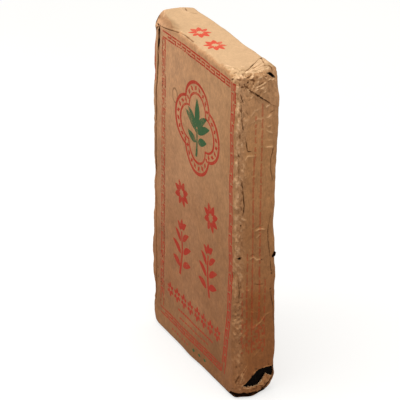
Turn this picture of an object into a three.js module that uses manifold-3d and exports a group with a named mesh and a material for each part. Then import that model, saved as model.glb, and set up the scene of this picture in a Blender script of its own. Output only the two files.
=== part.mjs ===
// A brick of fu tea in its worn kraft-paper wrapper, standing on one short end.
// Millimetres, +Z up, origin at the middle of the bottom end.
// x runs across the broad front, y from the front (negative) to the back, z up the brick.
import * as THREE from "three";
import { mergeVertices } from "three/addons/utils/BufferGeometryUtils.js";
import Module from "manifold-3d";

const wasm = await Module();
wasm.setup();

const WIDTH = 185;
const DEPTH = 47;
const HEIGHT = 350;
const EDGE_RADIUS = 5; // rounding of the brick's worn edges
const PAPER = 1.2; // the sheets of the wrapper together
const GAP = 0.4; // between the paper and the pressed tea
const LAP = 0.7; // how far a sheet lying over another one stands proud
const CREASE_DEPTH = 0.8; // of the dark slits between sheets
const CRUMPLE = 0.35; // height of the shallow waves
const TEA_ROUGHNESS = 0.15;
const WRINKLES = 24; // short ridges down the crinkled strip of the right side
const WRINKLE_HEIGHT = 0.6;

const HALF = new THREE.Vector3(WIDTH / 2, DEPTH / 2, HEIGHT / 2);
const RIGHT = WIDTH / 2;
const BACK = DEPTH / 2;
const EDGE_CELL = EDGE_RADIUS * 0.6; // width of the two outermost cells along each edge
const PAPER_CELLS = [12, 8, 34];
const CAVITY_CELLS = [8, 6, 14];
const TO_CENTRE = [-1.7, -0.3, 0]; // puts the uneven brick squarely over the origin

// Where the brick swells or is dented: the middle of the place, its reach and the push there.
const SWELLS = [
  { at: [RIGHT, -14, 10], reach: 32, push: [3.6, 0, 0] }, // lower right edge
  { at: [RIGHT, BACK, 50], reach: 36, push: [1, 1, 0] }, // above the tear
  { at: [RIGHT, BACK, 215], reach: 55, push: [-1.4, -1.2, 0] }, // waist of the right side
  { at: [-RIGHT, 0, HEIGHT], reach: 14, push: [-0.5, 0, 1.2] }, // proud left end of the top
  { at: [-74, BACK, HEIGHT], reach: 14, push: [0, 0, -1.8] }, // nick behind it
  { at: [66, 18, HEIGHT], reach: 16, push: [0, 0, 0.6] }, // stacked folds at the right
  { at: [-RIGHT, -BACK, 200], reach: 130, push: [1.2, 0.5, 0] }, // slightly drawn-in left edge
  { at: [-RIGHT, -BACK, 86], reach: 20, push: [-2.6, -0.8, 0] }, // puffed left edge
  { at: [-RIGHT, -BACK, 48], reach: 12, push: [2.4, 0.6, 0] }, // dent below it
];

// Corners that are crushed flat: the way each flat faces, and a point on it.
const FLATS = [
  { facing: [-0.17, -0.8, 0.57], through: [-77, -BACK, 339] }, // top left, in front
  { facing: [0.3, 0.6, -0.74], through: [RIGHT, 20, 8] }, // bottom right, behind
  { facing: [0.2, 0.88, -0.42], through: [RIGHT, BACK, 16] },
  { facing: [0.75, 0.5, 0.43], through: [RIGHT, 18, 340] }, // top right, behind
  { facing: [-0.8, -0.3, -0.52], through: [-RIGHT, -BACK, 9] }, // bottom left, in front
];

const clamp = THREE.MathUtils.clamp;
const smoothstep = THREE.MathUtils.smoothstep;

// ---- form shared by the paper and the tea ----

// Spreads the grid lines of a box side: two narrow cells at each edge, even cells between.
function grade(t, half, cells) {
  const k = ((t + 1) / 2) * cells;
  const inner = half - 2 * EDGE_CELL;
  if (k <= 2) return -half + k * EDGE_CELL;
  if (k >= cells - 2) return half - (cells - k) * EDGE_CELL;
  return -inner + ((k - 2) / (cells - 4)) * 2 * inner;
}

// Long shallow waves, which the tea and the paper share.
function crumple(p) {
  return CRUMPLE * Math.sin(p.z * 0.11 + p.x * 0.05) * Math.sin(p.x * 0.09 + p.y * 0.16 + 1);
}

// Shorter waves of the paper alone, strongest down the crinkled strip beside the right front edge.
function pucker(p) {
  const strip = Math.exp(-(((p.x - RIGHT) / 7) ** 2) - ((p.y + 16) / 7) ** 2);
  const quick = Math.sin(p.z * 0.31 + p.y * 0.5) * Math.cos(p.z * 0.17 - p.x * 0.2);
  return CRUMPLE * (0.4 + 1.4 * strip) * (0.5 + 0.5 * quick);
}

function swell(p) {
  const moved = new THREE.Vector3();
  for (const { at, reach, push } of SWELLS) {
    const near = p.distanceTo(new THREE.Vector3(...at)) / reach;
    moved.addScaledVector(new THREE.Vector3(...push), Math.exp(-near * near));
  }
  return moved;
}

// Presses what stands beyond each flat back to it, keeping a slight bulge.
function crush(p, offset) {
  for (const { facing, through } of FLATS) {
    const normal = new THREE.Vector3(...facing).normalize();
    const beyond = p.clone().sub(new THREE.Vector3(...through)).dot(normal) - offset;
    if (beyond > 0) p.addScaledVector(normal, -0.85 * beyond);
  }
}

// One point of the rounded brick, moved out by offset, from a point of the sharp-edged box.
function onBrick(sharp, offset, wave) {
  const core = sharp.clone();
  for (const axis of ["x", "y", "z"]) {
    const reach = HALF[axis] - EDGE_RADIUS;
    core[axis] = clamp(core[axis], -reach, reach);
  }
  const outward = sharp.clone().sub(core).normalize();
  const lift = new THREE.Vector3(0, 0, HEIGHT / 2);
  const skin = core.clone().addScaledVector(outward, EDGE_RADIUS).add(lift);
  const point = core.addScaledVector(outward, EDGE_RADIUS + offset).add(lift);
  const standing = clamp(skin.z / 12, 0, 1); // the end it stands on stays flat
  point.addScaledVector(outward, standing * wave(skin));
  point.add(swell(skin));
  crush(point, offset);
  point.z = Math.max(point.z, -offset);
  return point;
}

// The whole brick's skin as a closed surface, offset outwards or, below zero, inwards.
function brickSkin(offset, cells, wave) {
  const geometry = weld(new THREE.BoxGeometry(2, 2, 2, ...cells));
  const position = geometry.attributes.position;
  const sharp = new THREE.Vector3();
  for (let i = 0; i < position.count; i++) {
    sharp.fromBufferAttribute(position, i);
    sharp.x = grade(sharp.x, HALF.x, cells[0]);
    sharp.y = grade(sharp.y, HALF.y, cells[1]);
    sharp.z = grade(sharp.z, HALF.z, cells[2]);
    const point = onBrick(sharp, offset, wave);
    position.setXYZ(i, point.x, point.y, point.z);
  }
  return geometry;
}

// ---- solids ----

function weld(geometry) {
  geometry.deleteAttribute("normal");
  geometry.deleteAttribute("uv");
  return mergeVertices(geometry, 1e-4);
}

function solidOf(geometry) {
  return new wasm.Manifold(
    new wasm.Mesh({
      numProp: 3,
      vertProperties: new Float32Array(geometry.attributes.position.array),
      triVerts: new Uint32Array(geometry.index.array),
    }),
  );
}

function geometryOf(solid) {
  const mesh = solid.getMesh();
  const geometry = new THREE.BufferGeometry();
  geometry.setAttribute("position", new THREE.BufferAttribute(mesh.vertProperties, 3));
  geometry.setIndex(new THREE.BufferAttribute(mesh.triVerts, 1));
  geometry.computeVertexNormals();
  return geometry;
}

// The paper's surface moved out by offset, and further by lift at each point.
function paperSkin(offset, lift = () => 0) {
  return solidOf(brickSkin(offset, PAPER_CELLS, (p) => crumple(p) + pucker(p) + lift(p)));
}

// Ways from a drawn outline (u, v, height) to the side of the brick that it lies on.
const axis = (x, y, z) => new THREE.Vector3(x, y, z);
const TO_SIDE = new THREE.Matrix4().makeBasis(axis(0, 1, 0), axis(0, 0, 1), axis(1, 0, 0));
const TO_FRONT = new THREE.Matrix4().makeBasis(axis(1, 0, 0), axis(0, 0, 1), axis(0, -1, 0));
const TO_TOP = new THREE.Matrix4();

// A straight-sided block over an outline, from so far below the side's face to well above it.
function block(outline, toSide, face, below) {
  const shape = new THREE.Shape(outline.map(([u, v]) => new THREE.Vector2(u, v)));
  const options = { depth: below + 12, bevelEnabled: false };
  const geometry = new THREE.ExtrudeGeometry(shape, options);
  return solidOf(weld(geometry.translate(0, 0, face - below).applyMatrix4(toSide)));
}

const THROUGH = 12; // deep enough for a cut to pass through the paper
const SURFACE = 3; // shallow enough for a lap to end at the rounded edges
const onSide = (outline, below) => block(outline, TO_SIDE, RIGHT, below);
const onFront = (outline, below) => block(outline, TO_FRONT, BACK, below);
const onTop = (outline, below) => block(outline, TO_TOP, HEIGHT, below);

function oval(u, v, width, height) {
  const curve = new THREE.EllipseCurve(u, v, width / 2, height / 2);
  return curve.getPoints(9).slice(0, 9).map((p) => [p.x, p.y]);
}

// A narrow outline along a path, widest in the middle and running out to a point at both ends.
function spindle(path, width) {
  const curve = new THREE.CatmullRomCurve3(path.map(([u, v]) => new THREE.Vector3(u, v, 0)));
  const steps = 2 * path.length;
  const right = [];
  const left = [];
  for (let i = 1; i < steps; i++) {
    const at = curve.getPoint(i / steps);
    const along = curve.getTangent(i / steps);
    const half = (width / 2) * Math.sin((Math.PI * i) / steps);
    right.push([at.x + along.y * half, at.y - along.x * half]);
    left.unshift([at.x - along.y * half, at.y + along.x * half]);
  }
  return [path[0], ...right, path[path.length - 1], ...left];
}

// ---- the wrapper's sheets ----

// Free edge of the side sheet, as y and z, from the top down.
const SIDE_EDGE = [
  [13.2, 330], [13.4, 267], [14.3, 235], [13, 192], [13.8, 153],
  [16.3, 114], [19.4, 102], [22.2, 79], [30, 66],
];
// Diagonal lower edge of the end fold where it comes down over the side sheet, as y and z.
const FLAP_EDGE = [[-21, 344], [-14.7, 338.7], [-10.3, 333.7], [1.5, 324.4], [13.2, 317], [30, 311]];
// Slanting edge of the end fold on the top, as x and y.
const EAR_EDGE = [[99, -15.5], [88.4, -13.4], [75, 2.6], [61.1, 19.1], [64, 30]];
// Free edge of the puffed strip at the left of the front, as x and z.
const STRIP_EDGE = [
  [-77.6, 336], [-77.4, 296], [-82, 247], [-83.8, 179], [-82, 120], [-80.5, 74], [-84, 30],
];

// A lap rises from nothing at the front edge, which its sheet runs round without a break.
const sideLift = (p) => LAP * smoothstep(p.y, -24, -12);
const flapLift = (p) => 2 * sideLift(p);
const stripLift = (p) => LAP * (0.25 + 0.75 * smoothstep(p.x, -RIGHT, -84));

function laps() {
  const sheet = onSide([[-21, 4], [-21, 346], [8, 346], ...SIDE_EDGE, [30, 4]], SURFACE);
  const flap = onSide([...FLAP_EDGE, [30, 348], [-21, 348]], SURFACE);
  const ear = onTop([...EAR_EDGE, [99, 30]], SURFACE);
  const strip = onFront([...STRIP_EDGE, [-99, 30], [-99, 336]], SURFACE);
  return [
    paperSkin(0, sideLift).intersect(sheet),
    paperSkin(0, flapLift).intersect(flap),
    paperSkin(LAP).intersect(ear),
    paperSkin(0, stripLift).intersect(strip),
  ];
}

// Sharp raised folds that show one by one.
function folds() {
  return [
    onSide(spindle([[-17, 157.5], [-9, 155], [-2, 158.5], [2, 155.2], [8.5, 151]], 2), SURFACE),
    onSide(spindle([[-2.5, 142], [4, 147], [10, 160]], 1.8), SURFACE),
    onSide(spindle([[-7, 183], [2, 187], [14, 184]], 1.8), SURFACE),
    onSide(spindle([[-21, 14], [-15, 24], [-9, 37]], 2), SURFACE),
    onSide(spindle([[-6, 92], [2, 99], [9, 110]], 1.8), SURFACE),
    onSide(spindle([[-12, 28], [-2, 36], [5, 52]], 2), SURFACE),
    onTop(spindle([[88, -10], [80, 4], [72, 20]], 2), SURFACE),
    onTop(spindle([[89, -6], [85, 8], [82, 22]], 2), SURFACE),
  ];
}

// Short ridges scattered down the crinkled strip, alternating in slant.
function wrinkles() {
  const made = [];
  let turn = 7;
  for (let i = 0; i < WRINKLES; i++) {
    turn = (turn * 16807) % 2147483647;
    const share = turn / 2147483647;
    const y = -18.5 + 6 * ((i * 0.618 + share) % 1);
    const z = 24 + ((i + 0.5 * share) / WRINKLES) * 300;
    const long = 4 + 5 * share;
    const slant = (i % 2 ? 0.5 : -0.6) + 0.8 * (share - 0.5);
    const rise = Math.sin(slant) * long;
    const reach = Math.cos(slant) * long * 0.5;
    made.push(onSide(spindle([[y - reach, z - rise], [y, z + 1.2], [y + reach, z + rise]], 1.8), SURFACE));
  }
  return made;
}

// Dark slits where one sheet stands off from the next.
function slits() {
  return [
    onFront(spindle([[-77, 337], [-76.6, 316], [-77, 296], [-80, 260], [-83, 190]], 2.4), THROUGH),
    onSide(spindle([[-11.4, 284], [-11, 275], [-11.6, 266]], 1.4), THROUGH),
    onSide(spindle([[-19.4, 249], [-16.6, 228], [-14.2, 205]], 1.4), THROUGH),
    onTop(spindle([[88.4, -13.8], [74.6, 2.4], [60.8, 19.4]], 1.6), THROUGH),
  ];
}

// Small holes worn right through the paper.
function pinholes() {
  return [
    onSide([[-21.5, 156.8], [-17.6, 154.6], [-16.2, 157.4], [-18, 158.8]], THROUGH),
    onSide(oval(6.7, 150.6, 2.2, 2.2), THROUGH),
    onFront(oval(-79.2, 68.8, 2.6, 4.2), THROUGH),
    onFront(oval(-79.2, 58, 2.2, 3.4), THROUGH),
    onTop(oval(61.1, 19.6, 2.4, 2), THROUGH),
  ];
}

// The torn opening at the lower right corner, as y and z; a tab of paper is left standing in it.
function tear() {
  const upperEdge = [
    [21.7, 24.3], [18.8, 27.3], [14.6, 26.2], [10.8, 27], [5.2, 26],
    [1.5, 22.2], [-3.7, 19], [-8.4, 14.2], [-13.7, 11.1],
  ];
  const lowerEdge = [[-4, 8.3], [1.4, 7.6], [5.5, 8.8]];
  const tab = [[9.5, 13.5], [13.2, 21.7], [16.8, 18.4], [20.8, 17.4], [20.4, 15], [22.4, 16.4]];
  return onSide([...upperEdge, ...lowerEdge, ...tab], THROUGH);
}

function paperWrapper() {
  const ridgeTop = paperSkin(LAP + WRINKLE_HEIGHT);
  const slitFloor = paperSkin(-CREASE_DEPTH);
  let paper = paperSkin(0);
  for (const lap of laps()) paper = paper.add(lap);
  for (const ridge of [...folds(), ...wrinkles()]) paper = paper.add(ridgeTop.intersect(ridge));
  for (const slit of slits()) paper = paper.subtract(slit.subtract(slitFloor));
  paper = paper.subtract(solidOf(brickSkin(-PAPER, CAVITY_CELLS, crumple)));
  for (const hole of pinholes()) paper = paper.subtract(hole);
  return geometryOf(paper.subtract(tear()));
}

// ---- the pressed tea ----

function teaBrick() {
  const grain = (p) => TEA_ROUGHNESS * Math.sin(p.z * 0.9 + p.y) * Math.sin(p.x * 0.8 - p.y * 0.7);
  return brickSkin(-PAPER - GAP, CAVITY_CELLS, (p) => crumple(p) + Math.min(0, grain(p)));
}

// ---- object ----

const KRAFT = new THREE.MeshStandardMaterial({ color: "#a87b52", roughness: 0.85, metalness: 0 });
const TEA = new THREE.MeshStandardMaterial({ color: "#1c140e", roughness: 0.95, metalness: 0 });

function piece(name, geometry, material) {
  const mesh = new THREE.Mesh(geometry, material);
  mesh.name = name;
  return mesh;
}

const tea = new THREE.Group();
tea.position.set(...TO_CENTRE);
tea.add(piece("paper_wrapper", paperWrapper(), KRAFT));
tea.add(piece("tea_brick", teaBrick(), TEA));

export default tea;
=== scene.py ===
"""Looks of a standing brick of fu tea in its worn kraft-paper wrapper.

Sizes are in millimetres and in the brick's own frame, as the solids are: x runs across the broad
front, y from the front (negative) to the back, z up. Meshes are turned to metres when they are made.
"""
import math

import bpy
import numpy as np
from mathutils import Matrix, Vector
from mathutils.geometry import tessellate_polygon
from mathutils.kdtree import KDTree


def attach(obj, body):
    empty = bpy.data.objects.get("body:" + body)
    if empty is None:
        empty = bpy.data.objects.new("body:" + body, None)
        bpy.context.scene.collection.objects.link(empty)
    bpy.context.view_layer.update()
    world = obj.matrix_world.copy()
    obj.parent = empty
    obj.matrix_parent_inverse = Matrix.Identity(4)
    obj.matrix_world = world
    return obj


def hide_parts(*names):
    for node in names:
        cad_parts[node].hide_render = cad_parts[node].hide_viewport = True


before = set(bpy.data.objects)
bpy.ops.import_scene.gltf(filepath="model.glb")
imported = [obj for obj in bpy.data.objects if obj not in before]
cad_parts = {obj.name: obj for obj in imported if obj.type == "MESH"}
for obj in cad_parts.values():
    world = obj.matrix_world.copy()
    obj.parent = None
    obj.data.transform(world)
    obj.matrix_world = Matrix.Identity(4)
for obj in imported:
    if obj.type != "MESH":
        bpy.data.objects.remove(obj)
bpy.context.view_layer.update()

# ---- sizes ----

MM = 0.001
WIDTH, DEPTH, HEIGHT = 185.0, 47.0, 350.0
EDGE_RADIUS = 5.0
PAPER = 1.2                # the sheets of the wrapper together
GAP = 0.4                  # between the paper and the pressed tea
LAP = 0.7                  # how far a sheet lying over another one stands proud
CRUMPLE = 0.35             # height of the shallow waves
INK = 0.07                 # the print stands this much over the paper, and roots deeper in it
INK_ROOT = 0.35
TO_CENTRE = np.array([-1.7, -0.3, 0.0])
HALF = np.array([WIDTH, DEPTH, HEIGHT]) / 2
RIGHT, BACK = WIDTH / 2, DEPTH / 2
UP = np.array([0.0, 0.0, HEIGHT / 2])

# Where the brick swells or is dented: the middle of the place, its reach and the push there.
SWELLS = [
    ((RIGHT, -14, 10), 32, (3.6, 0, 0)),
    ((RIGHT, BACK, 50), 36, (1, 1, 0)),
    ((RIGHT, BACK, 215), 55, (-1.4, -1.2, 0)),
    ((-RIGHT, 0, HEIGHT), 14, (-0.5, 0, 1.2)),
    ((-74, BACK, HEIGHT), 14, (0, 0, -1.8)),
    ((66, 18, HEIGHT), 16, (0, 0, 0.6)),
    ((-RIGHT, -BACK, 200), 130, (1.2, 0.5, 0)),
    ((-RIGHT, -BACK, 86), 20, (-2.6, -0.8, 0)),
    ((-RIGHT, -BACK, 48), 12, (2.4, 0.6, 0)),
]
# Smaller ones, which only the paper and the tea of this script have. Along the two edges that
# stand in the photograph's outline: how high up, their reach and the push along x and y.
EDGE_DENTS = {
    (-RIGHT, -BACK): [
        (330, 11, 1.3, 2.2), (3, 8, 0.8, 1.8), (258, 14, -0.5, -1), (200, 12, -0.4, -0.8), (175, 9, 0.4, 1),
        (124, 9, -0.4, -0.8), (109, 9, 0.4, 0.9), (62, 8, -0.4, -0.9), (37, 9, 0.4, 0.9),
        (285, 10, 0.6, 1.1), (74, 7, 0.4, 0.8),
    ],
    (RIGHT, BACK): [
        (341, 13, -0.8, -1.6), (318, 9, 0.3, 0.5), (290, 18, 0.3, 0.5), (184, 13, -0.7, -1.2),
        (131, 9, 0.5, 0.8), (31, 10, -0.7, -1), (18.5, 4.5, 0.9, 1.2), (148, 9, -0.3, -0.5),
    ],
}
DENTS = [
    ((22, BACK, HEIGHT), 16, (0, 0, -1.1)), ((68, BACK, HEIGHT), 16, (0, 0, -1.1)),
    ((-57, BACK, HEIGHT), 13, (0, 0, -0.9)), ((-89, BACK, HEIGHT), 11, (0, 0, -1.5)),
    ((-RIGHT, -8, HEIGHT), 10, (0, 0, 0.8)), ((RIGHT, 19, 6), 8, (-1.6, -1, 0.6)),
    ((RIGHT, -5, 3), 9, (1.2, 0, -0.8)), ((RIGHT, -3, 5), 9, (2.2, 0, 0)),
    ((-3, -BACK, 4), 18, (0, -1.2, 0)), ((RIGHT, -BACK, 3), 8, (-0.4, 1.1, 0)),
]
DENTS += [((x, y, z), reach, (push_x, push_y, 0))
          for (x, y), rows in EDGE_DENTS.items() for z, reach, push_x, push_y in rows]

# Corners that are crushed flat: the way each flat faces, and a point on it.
FLATS = [
    ((-0.17, -0.8, 0.57), (-77, -BACK, 339)),
    ((0.3, 0.6, -0.74), (RIGHT, 20, 8)),
    ((0.2, 0.88, -0.42), (RIGHT, BACK, 16)),
    ((0.75, 0.5, 0.43), (RIGHT, 18, 340)),
    ((-0.8, -0.3, -0.52), (-RIGHT, -BACK, 9)),
]


# ---- number helpers ----

def ramp(t, low, high):
    """0 below low, 1 above high, smooth between; low may be the larger one."""
    s = np.clip((t - low) / (high - low), 0, 1)
    return s * s * (3 - 2 * s)


def noise(p, seed):
    """Smooth gradient noise in about -1..1 at points p, one lattice cell a unit."""
    table = np.random.default_rng(seed).permutation(256)
    turns = np.random.default_rng(seed + 1).normal(size=(256, 3))
    turns /= np.linalg.norm(turns, axis=1)[:, None]
    cell = np.floor(p).astype(int)
    part = p - cell
    ease = part * part * part * (part * (part * 6 - 15) + 10)
    total = np.zeros(len(p))
    for corner in np.ndindex(2, 2, 2):
        at = cell + corner
        code = table[(at[:, 0] + table[(at[:, 1] + table[at[:, 2] % 256]) % 256]) % 256]
        weight = np.prod(np.where(np.array(corner) == 1, ease, 1 - ease), axis=1)
        total += weight * np.einsum("ij,ij->i", turns[code], part - corner)
    return total * 1.6


def bell(*places):
    """1 where each coordinate is at its place, fading to nothing over its width: (values, place, width)."""
    return np.exp(-sum(((values - place) / width) ** 2 for values, place, width in places))


def where_needed(share, p, height):
    """share times the height at the points where share isn't nothing."""
    out = np.zeros(len(p))
    near = share > 0.004
    if near.any():
        out[near] = share[near] * height(p[near])
    return out


def facets(p, size, seed, count=5):
    """Creased-paper height in about -1..1: folded planes that cross at random slants."""
    draw = np.random.default_rng(seed)
    height = np.zeros(len(p))
    for i in range(count):
        way = draw.normal(size=3)
        way /= np.linalg.norm(way)
        length = size * draw.uniform(0.7, 1.6)
        bend = 0.45 * noise(p / (1.6 * size), seed + 7 * i)
        t = p @ way / length + bend + draw.uniform()
        height += 4 * np.abs(t - np.floor(t + 0.5)) - 1
    return height / math.sqrt(count)


def path_distance(p, path):
    """Distance of points to a drawn path, and the share of the path's length at the foot."""
    path = np.array(path, float)
    legs = path[1:] - path[:-1]
    lengths = np.linalg.norm(legs, axis=1)
    starts = np.concatenate([[0], np.cumsum(lengths)[:-1]])
    best = np.full(len(p), 1e9)
    share = np.zeros(len(p))
    for start, leg, length, before in zip(path, legs, lengths, starts):
        t = np.clip((p - start) @ leg / length**2, 0, 1)
        far = np.linalg.norm(p - start - t[:, None] * leg, axis=1)
        nearer = far < best
        best = np.where(nearer, far, best)
        share = np.where(nearer, (before + t * length) / lengths.sum(), share)
    return best, share


# ---- form shared by the paper and the tea ----

def crumple(p):
    x, y, z = p.T
    return CRUMPLE * np.sin(0.11 * z + 0.05 * x) * np.sin(0.09 * x + 0.16 * y + 1)


def swell(p):
    moved = np.zeros_like(p)
    for at, reach, push in SWELLS + DENTS:
        near = np.linalg.norm(p - np.array(at), axis=1) / reach
        moved += np.exp(-near * near)[:, None] * np.array(push)
    return moved


def crush(p, offset):
    for facing, through in FLATS:
        normal = np.array(facing) / np.linalg.norm(facing)
        beyond = (p - np.array(through)) @ normal - offset
        p -= 0.85 * np.maximum(beyond, 0)[:, None] * normal


def rounded(sharp):
    """The rounded brick's points for points of the sharp-edged box, and the ways out there."""
    reach = HALF - EDGE_RADIUS
    core = np.clip(sharp, -reach, reach)
    outward = sharp - core
    outward /= np.linalg.norm(outward, axis=1)[:, None]
    return core + outward * EDGE_RADIUS + UP, outward


def on_brick(sharp, offset, wave):
    """Points of the crumpled brick, moved out by offset, from points of the sharp-edged box."""
    skin, outward = rounded(sharp)
    point = skin + outward * offset
    standing = np.clip(skin[:, 2] / 12, 0, 1)
    point += outward * (standing * wave(skin))[:, None]
    point += swell(skin)
    crush(point, offset)
    point[:, 2] = np.maximum(point[:, 2], -offset)
    return point


# Each side's two drawn axes, the axis it faces along, and where its face lies on that axis.
SIDES = {"side": (1, 2, 0, HALF[0]), "front": (0, 2, 1, -HALF[1]), "top": (0, 1, 2, HALF[2])}


def stand_on(side, uv, height):
    """Points (u, v) of a side, at a height over its face, as points of the brick."""
    u, v, across, face = SIDES[side]
    out = np.zeros((len(uv), 3))
    out[:, u], out[:, v] = np.asarray(uv)[:, 0], np.asarray(uv)[:, 1]
    out[:, across] = face + math.copysign(1, face) * height
    if across == 2:
        out[:, 2] += HEIGHT / 2
    return out


# ---- creases, each with its path on a side of the brick, its height and its half width ----

def on_faces(creases):
    """Creases that lie flat on a side, by points of the brick."""
    return [(stand_on(side, path, 0), rise, half_width)
            for side, rows in creases.items() for path, rise, half_width in rows]


SIDE_CREASES = [
    ([(-6, 339), (-0.8, 341.8)], 0.5, 1.5), ([(-3, 336.5), (5, 339.2)], 0.5, 1.5),
    ([(-0.7, 333), (6.8, 335.2)], 0.5, 1.5), ([(7.3, 312.8), (12.6, 315.5)], 0.9, 1.8),
    ([(8, 301.7), (13.9, 304.2)], 0.6, 1.5), ([(10.7, 305.1), (16.5, 308.5)], -0.5, 1.1),
    ([(8.7, 292.7), (14.7, 293.1)], 0.6, 1.5), ([(7.7, 290.2), (11, 287.5), (16.5, 284.3)], 0.7, 1.6),
    ([(7.4, 279), (15.6, 277.4)], 0.4, 1.4), ([(8.6, 271.3), (15.7, 270.4), (16.9, 268.6)], 1, 1.6),
    ([(-14.5, 260.9), (-10.7, 265.4), (-1.5, 264.1)], 0.7, 1.7),
    ([(-18.9, 202.5), (-14.5, 198.3), (-9.6, 197.2)], 0.5, 1.3),
    ([(-1.6, 182), (3.3, 184.2), (6.6, 184), (12.1, 182.3)], 0.9, 1.4),
    ([(-1, 185.2), (4, 187.2), (9, 186.4)], -0.5, 1.3), ([(0.1, 175), (6.7, 179.4)], 0.6, 1.5),
    ([(-7.7, 152.9), (-2.8, 155.2), (1.1, 151.2), (6.1, 151.2)], 1, 1.3),
    ([(-7.7, 155.6), (-2.8, 158), (0, 154.6)], -0.5, 1.2), ([(-9.9, 118.9), (-6.6, 119.8)], 0.7, 1.4),
    ([(-2.3, 125.5), (3.3, 123.1), (8.9, 122.9)], -0.6, 1.4), ([(-2, 127.5), (3.3, 125.3)], 0.4, 1.2),
    ([(-6.4, 76.6), (-1.9, 76.7), (5.8, 81.1), (11.8, 88.1), (18.5, 89.9)], 0.8, 1.7),
    ([(-1.9, 44.9), (5.3, 51.2)], 0.5, 1.6), ([(-19.1, 13.6), (-14.5, 26.3), (-6.8, 37)], 0.5, 1.2),
    ([(-7.1, 17.5), (0.7, 24.8), (4, 28)], 0.6, 1.5),
    ([(-24.4, 87.6), (-20.5, 88.9), (-16.2, 93.5)], 0.7, 1.4), ([(-20.4, 78.2), (-15.9, 80.6)], 0.7, 1.4),
    ([(-11, 304), (-4, 312), (4, 313)], 0.5, 1.8), ([(-8, 299), (-1, 303), (6, 301)], 0.45, 1.8),
    ([(-14, 313), (-9, 305)], -0.4, 1.6), ([(-16, 241), (-6, 244)], 0.3, 1.4),
    ([(-17, 66), (-8, 72)], 0.3, 1.6), ([(-10, 96), (2, 93), (11, 97)], 0.3, 1.8),
    ([(4, 62), (14, 70)], 0.35, 1.8), ([(-14, 13), (-2, 11.5), (10, 12)], -0.5, 1.4),
]
TOP_CREASES = [
    ([(88, -13), (84, 0), (79, 12), (74, 20)], 0.7, 1.8), ([(88, -13), (86.5, 2), (84, 16)], 0.7, 1.7),
    ([(88, -13), (90, -2), (89, 14)], 0.6, 1.5), ([(86, -9), (81, 0), (72, 10)], 0.5, 1.3),
    ([(74, -20), (82, -16), (90, -17)], 0.7, 1.6), ([(62, -21), (70, -17), (78, -19)], 0.5, 1.8),
    ([(78, -14), (86, -17), (91, -15)], -0.6, 1.4), ([(-92, -8), (-84, -16), (-80, -22)], 0.5, 1.6),
    ([(-92, 6), (-80, 4), (-70, 12)], 0.35, 2), ([(70, 21), (77, 12), (80, 8)], 0.5, 1.5),
    ([(65, 20), (73, 12), (79, 2)], 0.4, 1.5),
]
FRONT_CREASES = [
    ([(-72, 48), (-60, 38), (-44, 27)], 0.35, 2.6), ([(-70, 58), (-57, 46), (-42, 36)], -0.3, 3),
    ([(-66, 34), (-52, 24), (-40, 17)], 0.3, 2.2), ([(50, 252), (72, 268)], 0.22, 1.5),
    ([(52, 179), (78, 168)], 0.25, 1.3), ([(12, 171), (18, 152)], 0.15, 1.6),
    ([(-30, 300), (-10, 305), (8, 300)], 0.15, 3), ([(-60, 120), (-50, 100)], 0.12, 3),
    ([(10, 26), (30, 30), (52, 24)], 0.25, 2.4), ([(-79, 92), (-78, 74), (-79.5, 60)], -0.35, 2),
]
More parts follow.
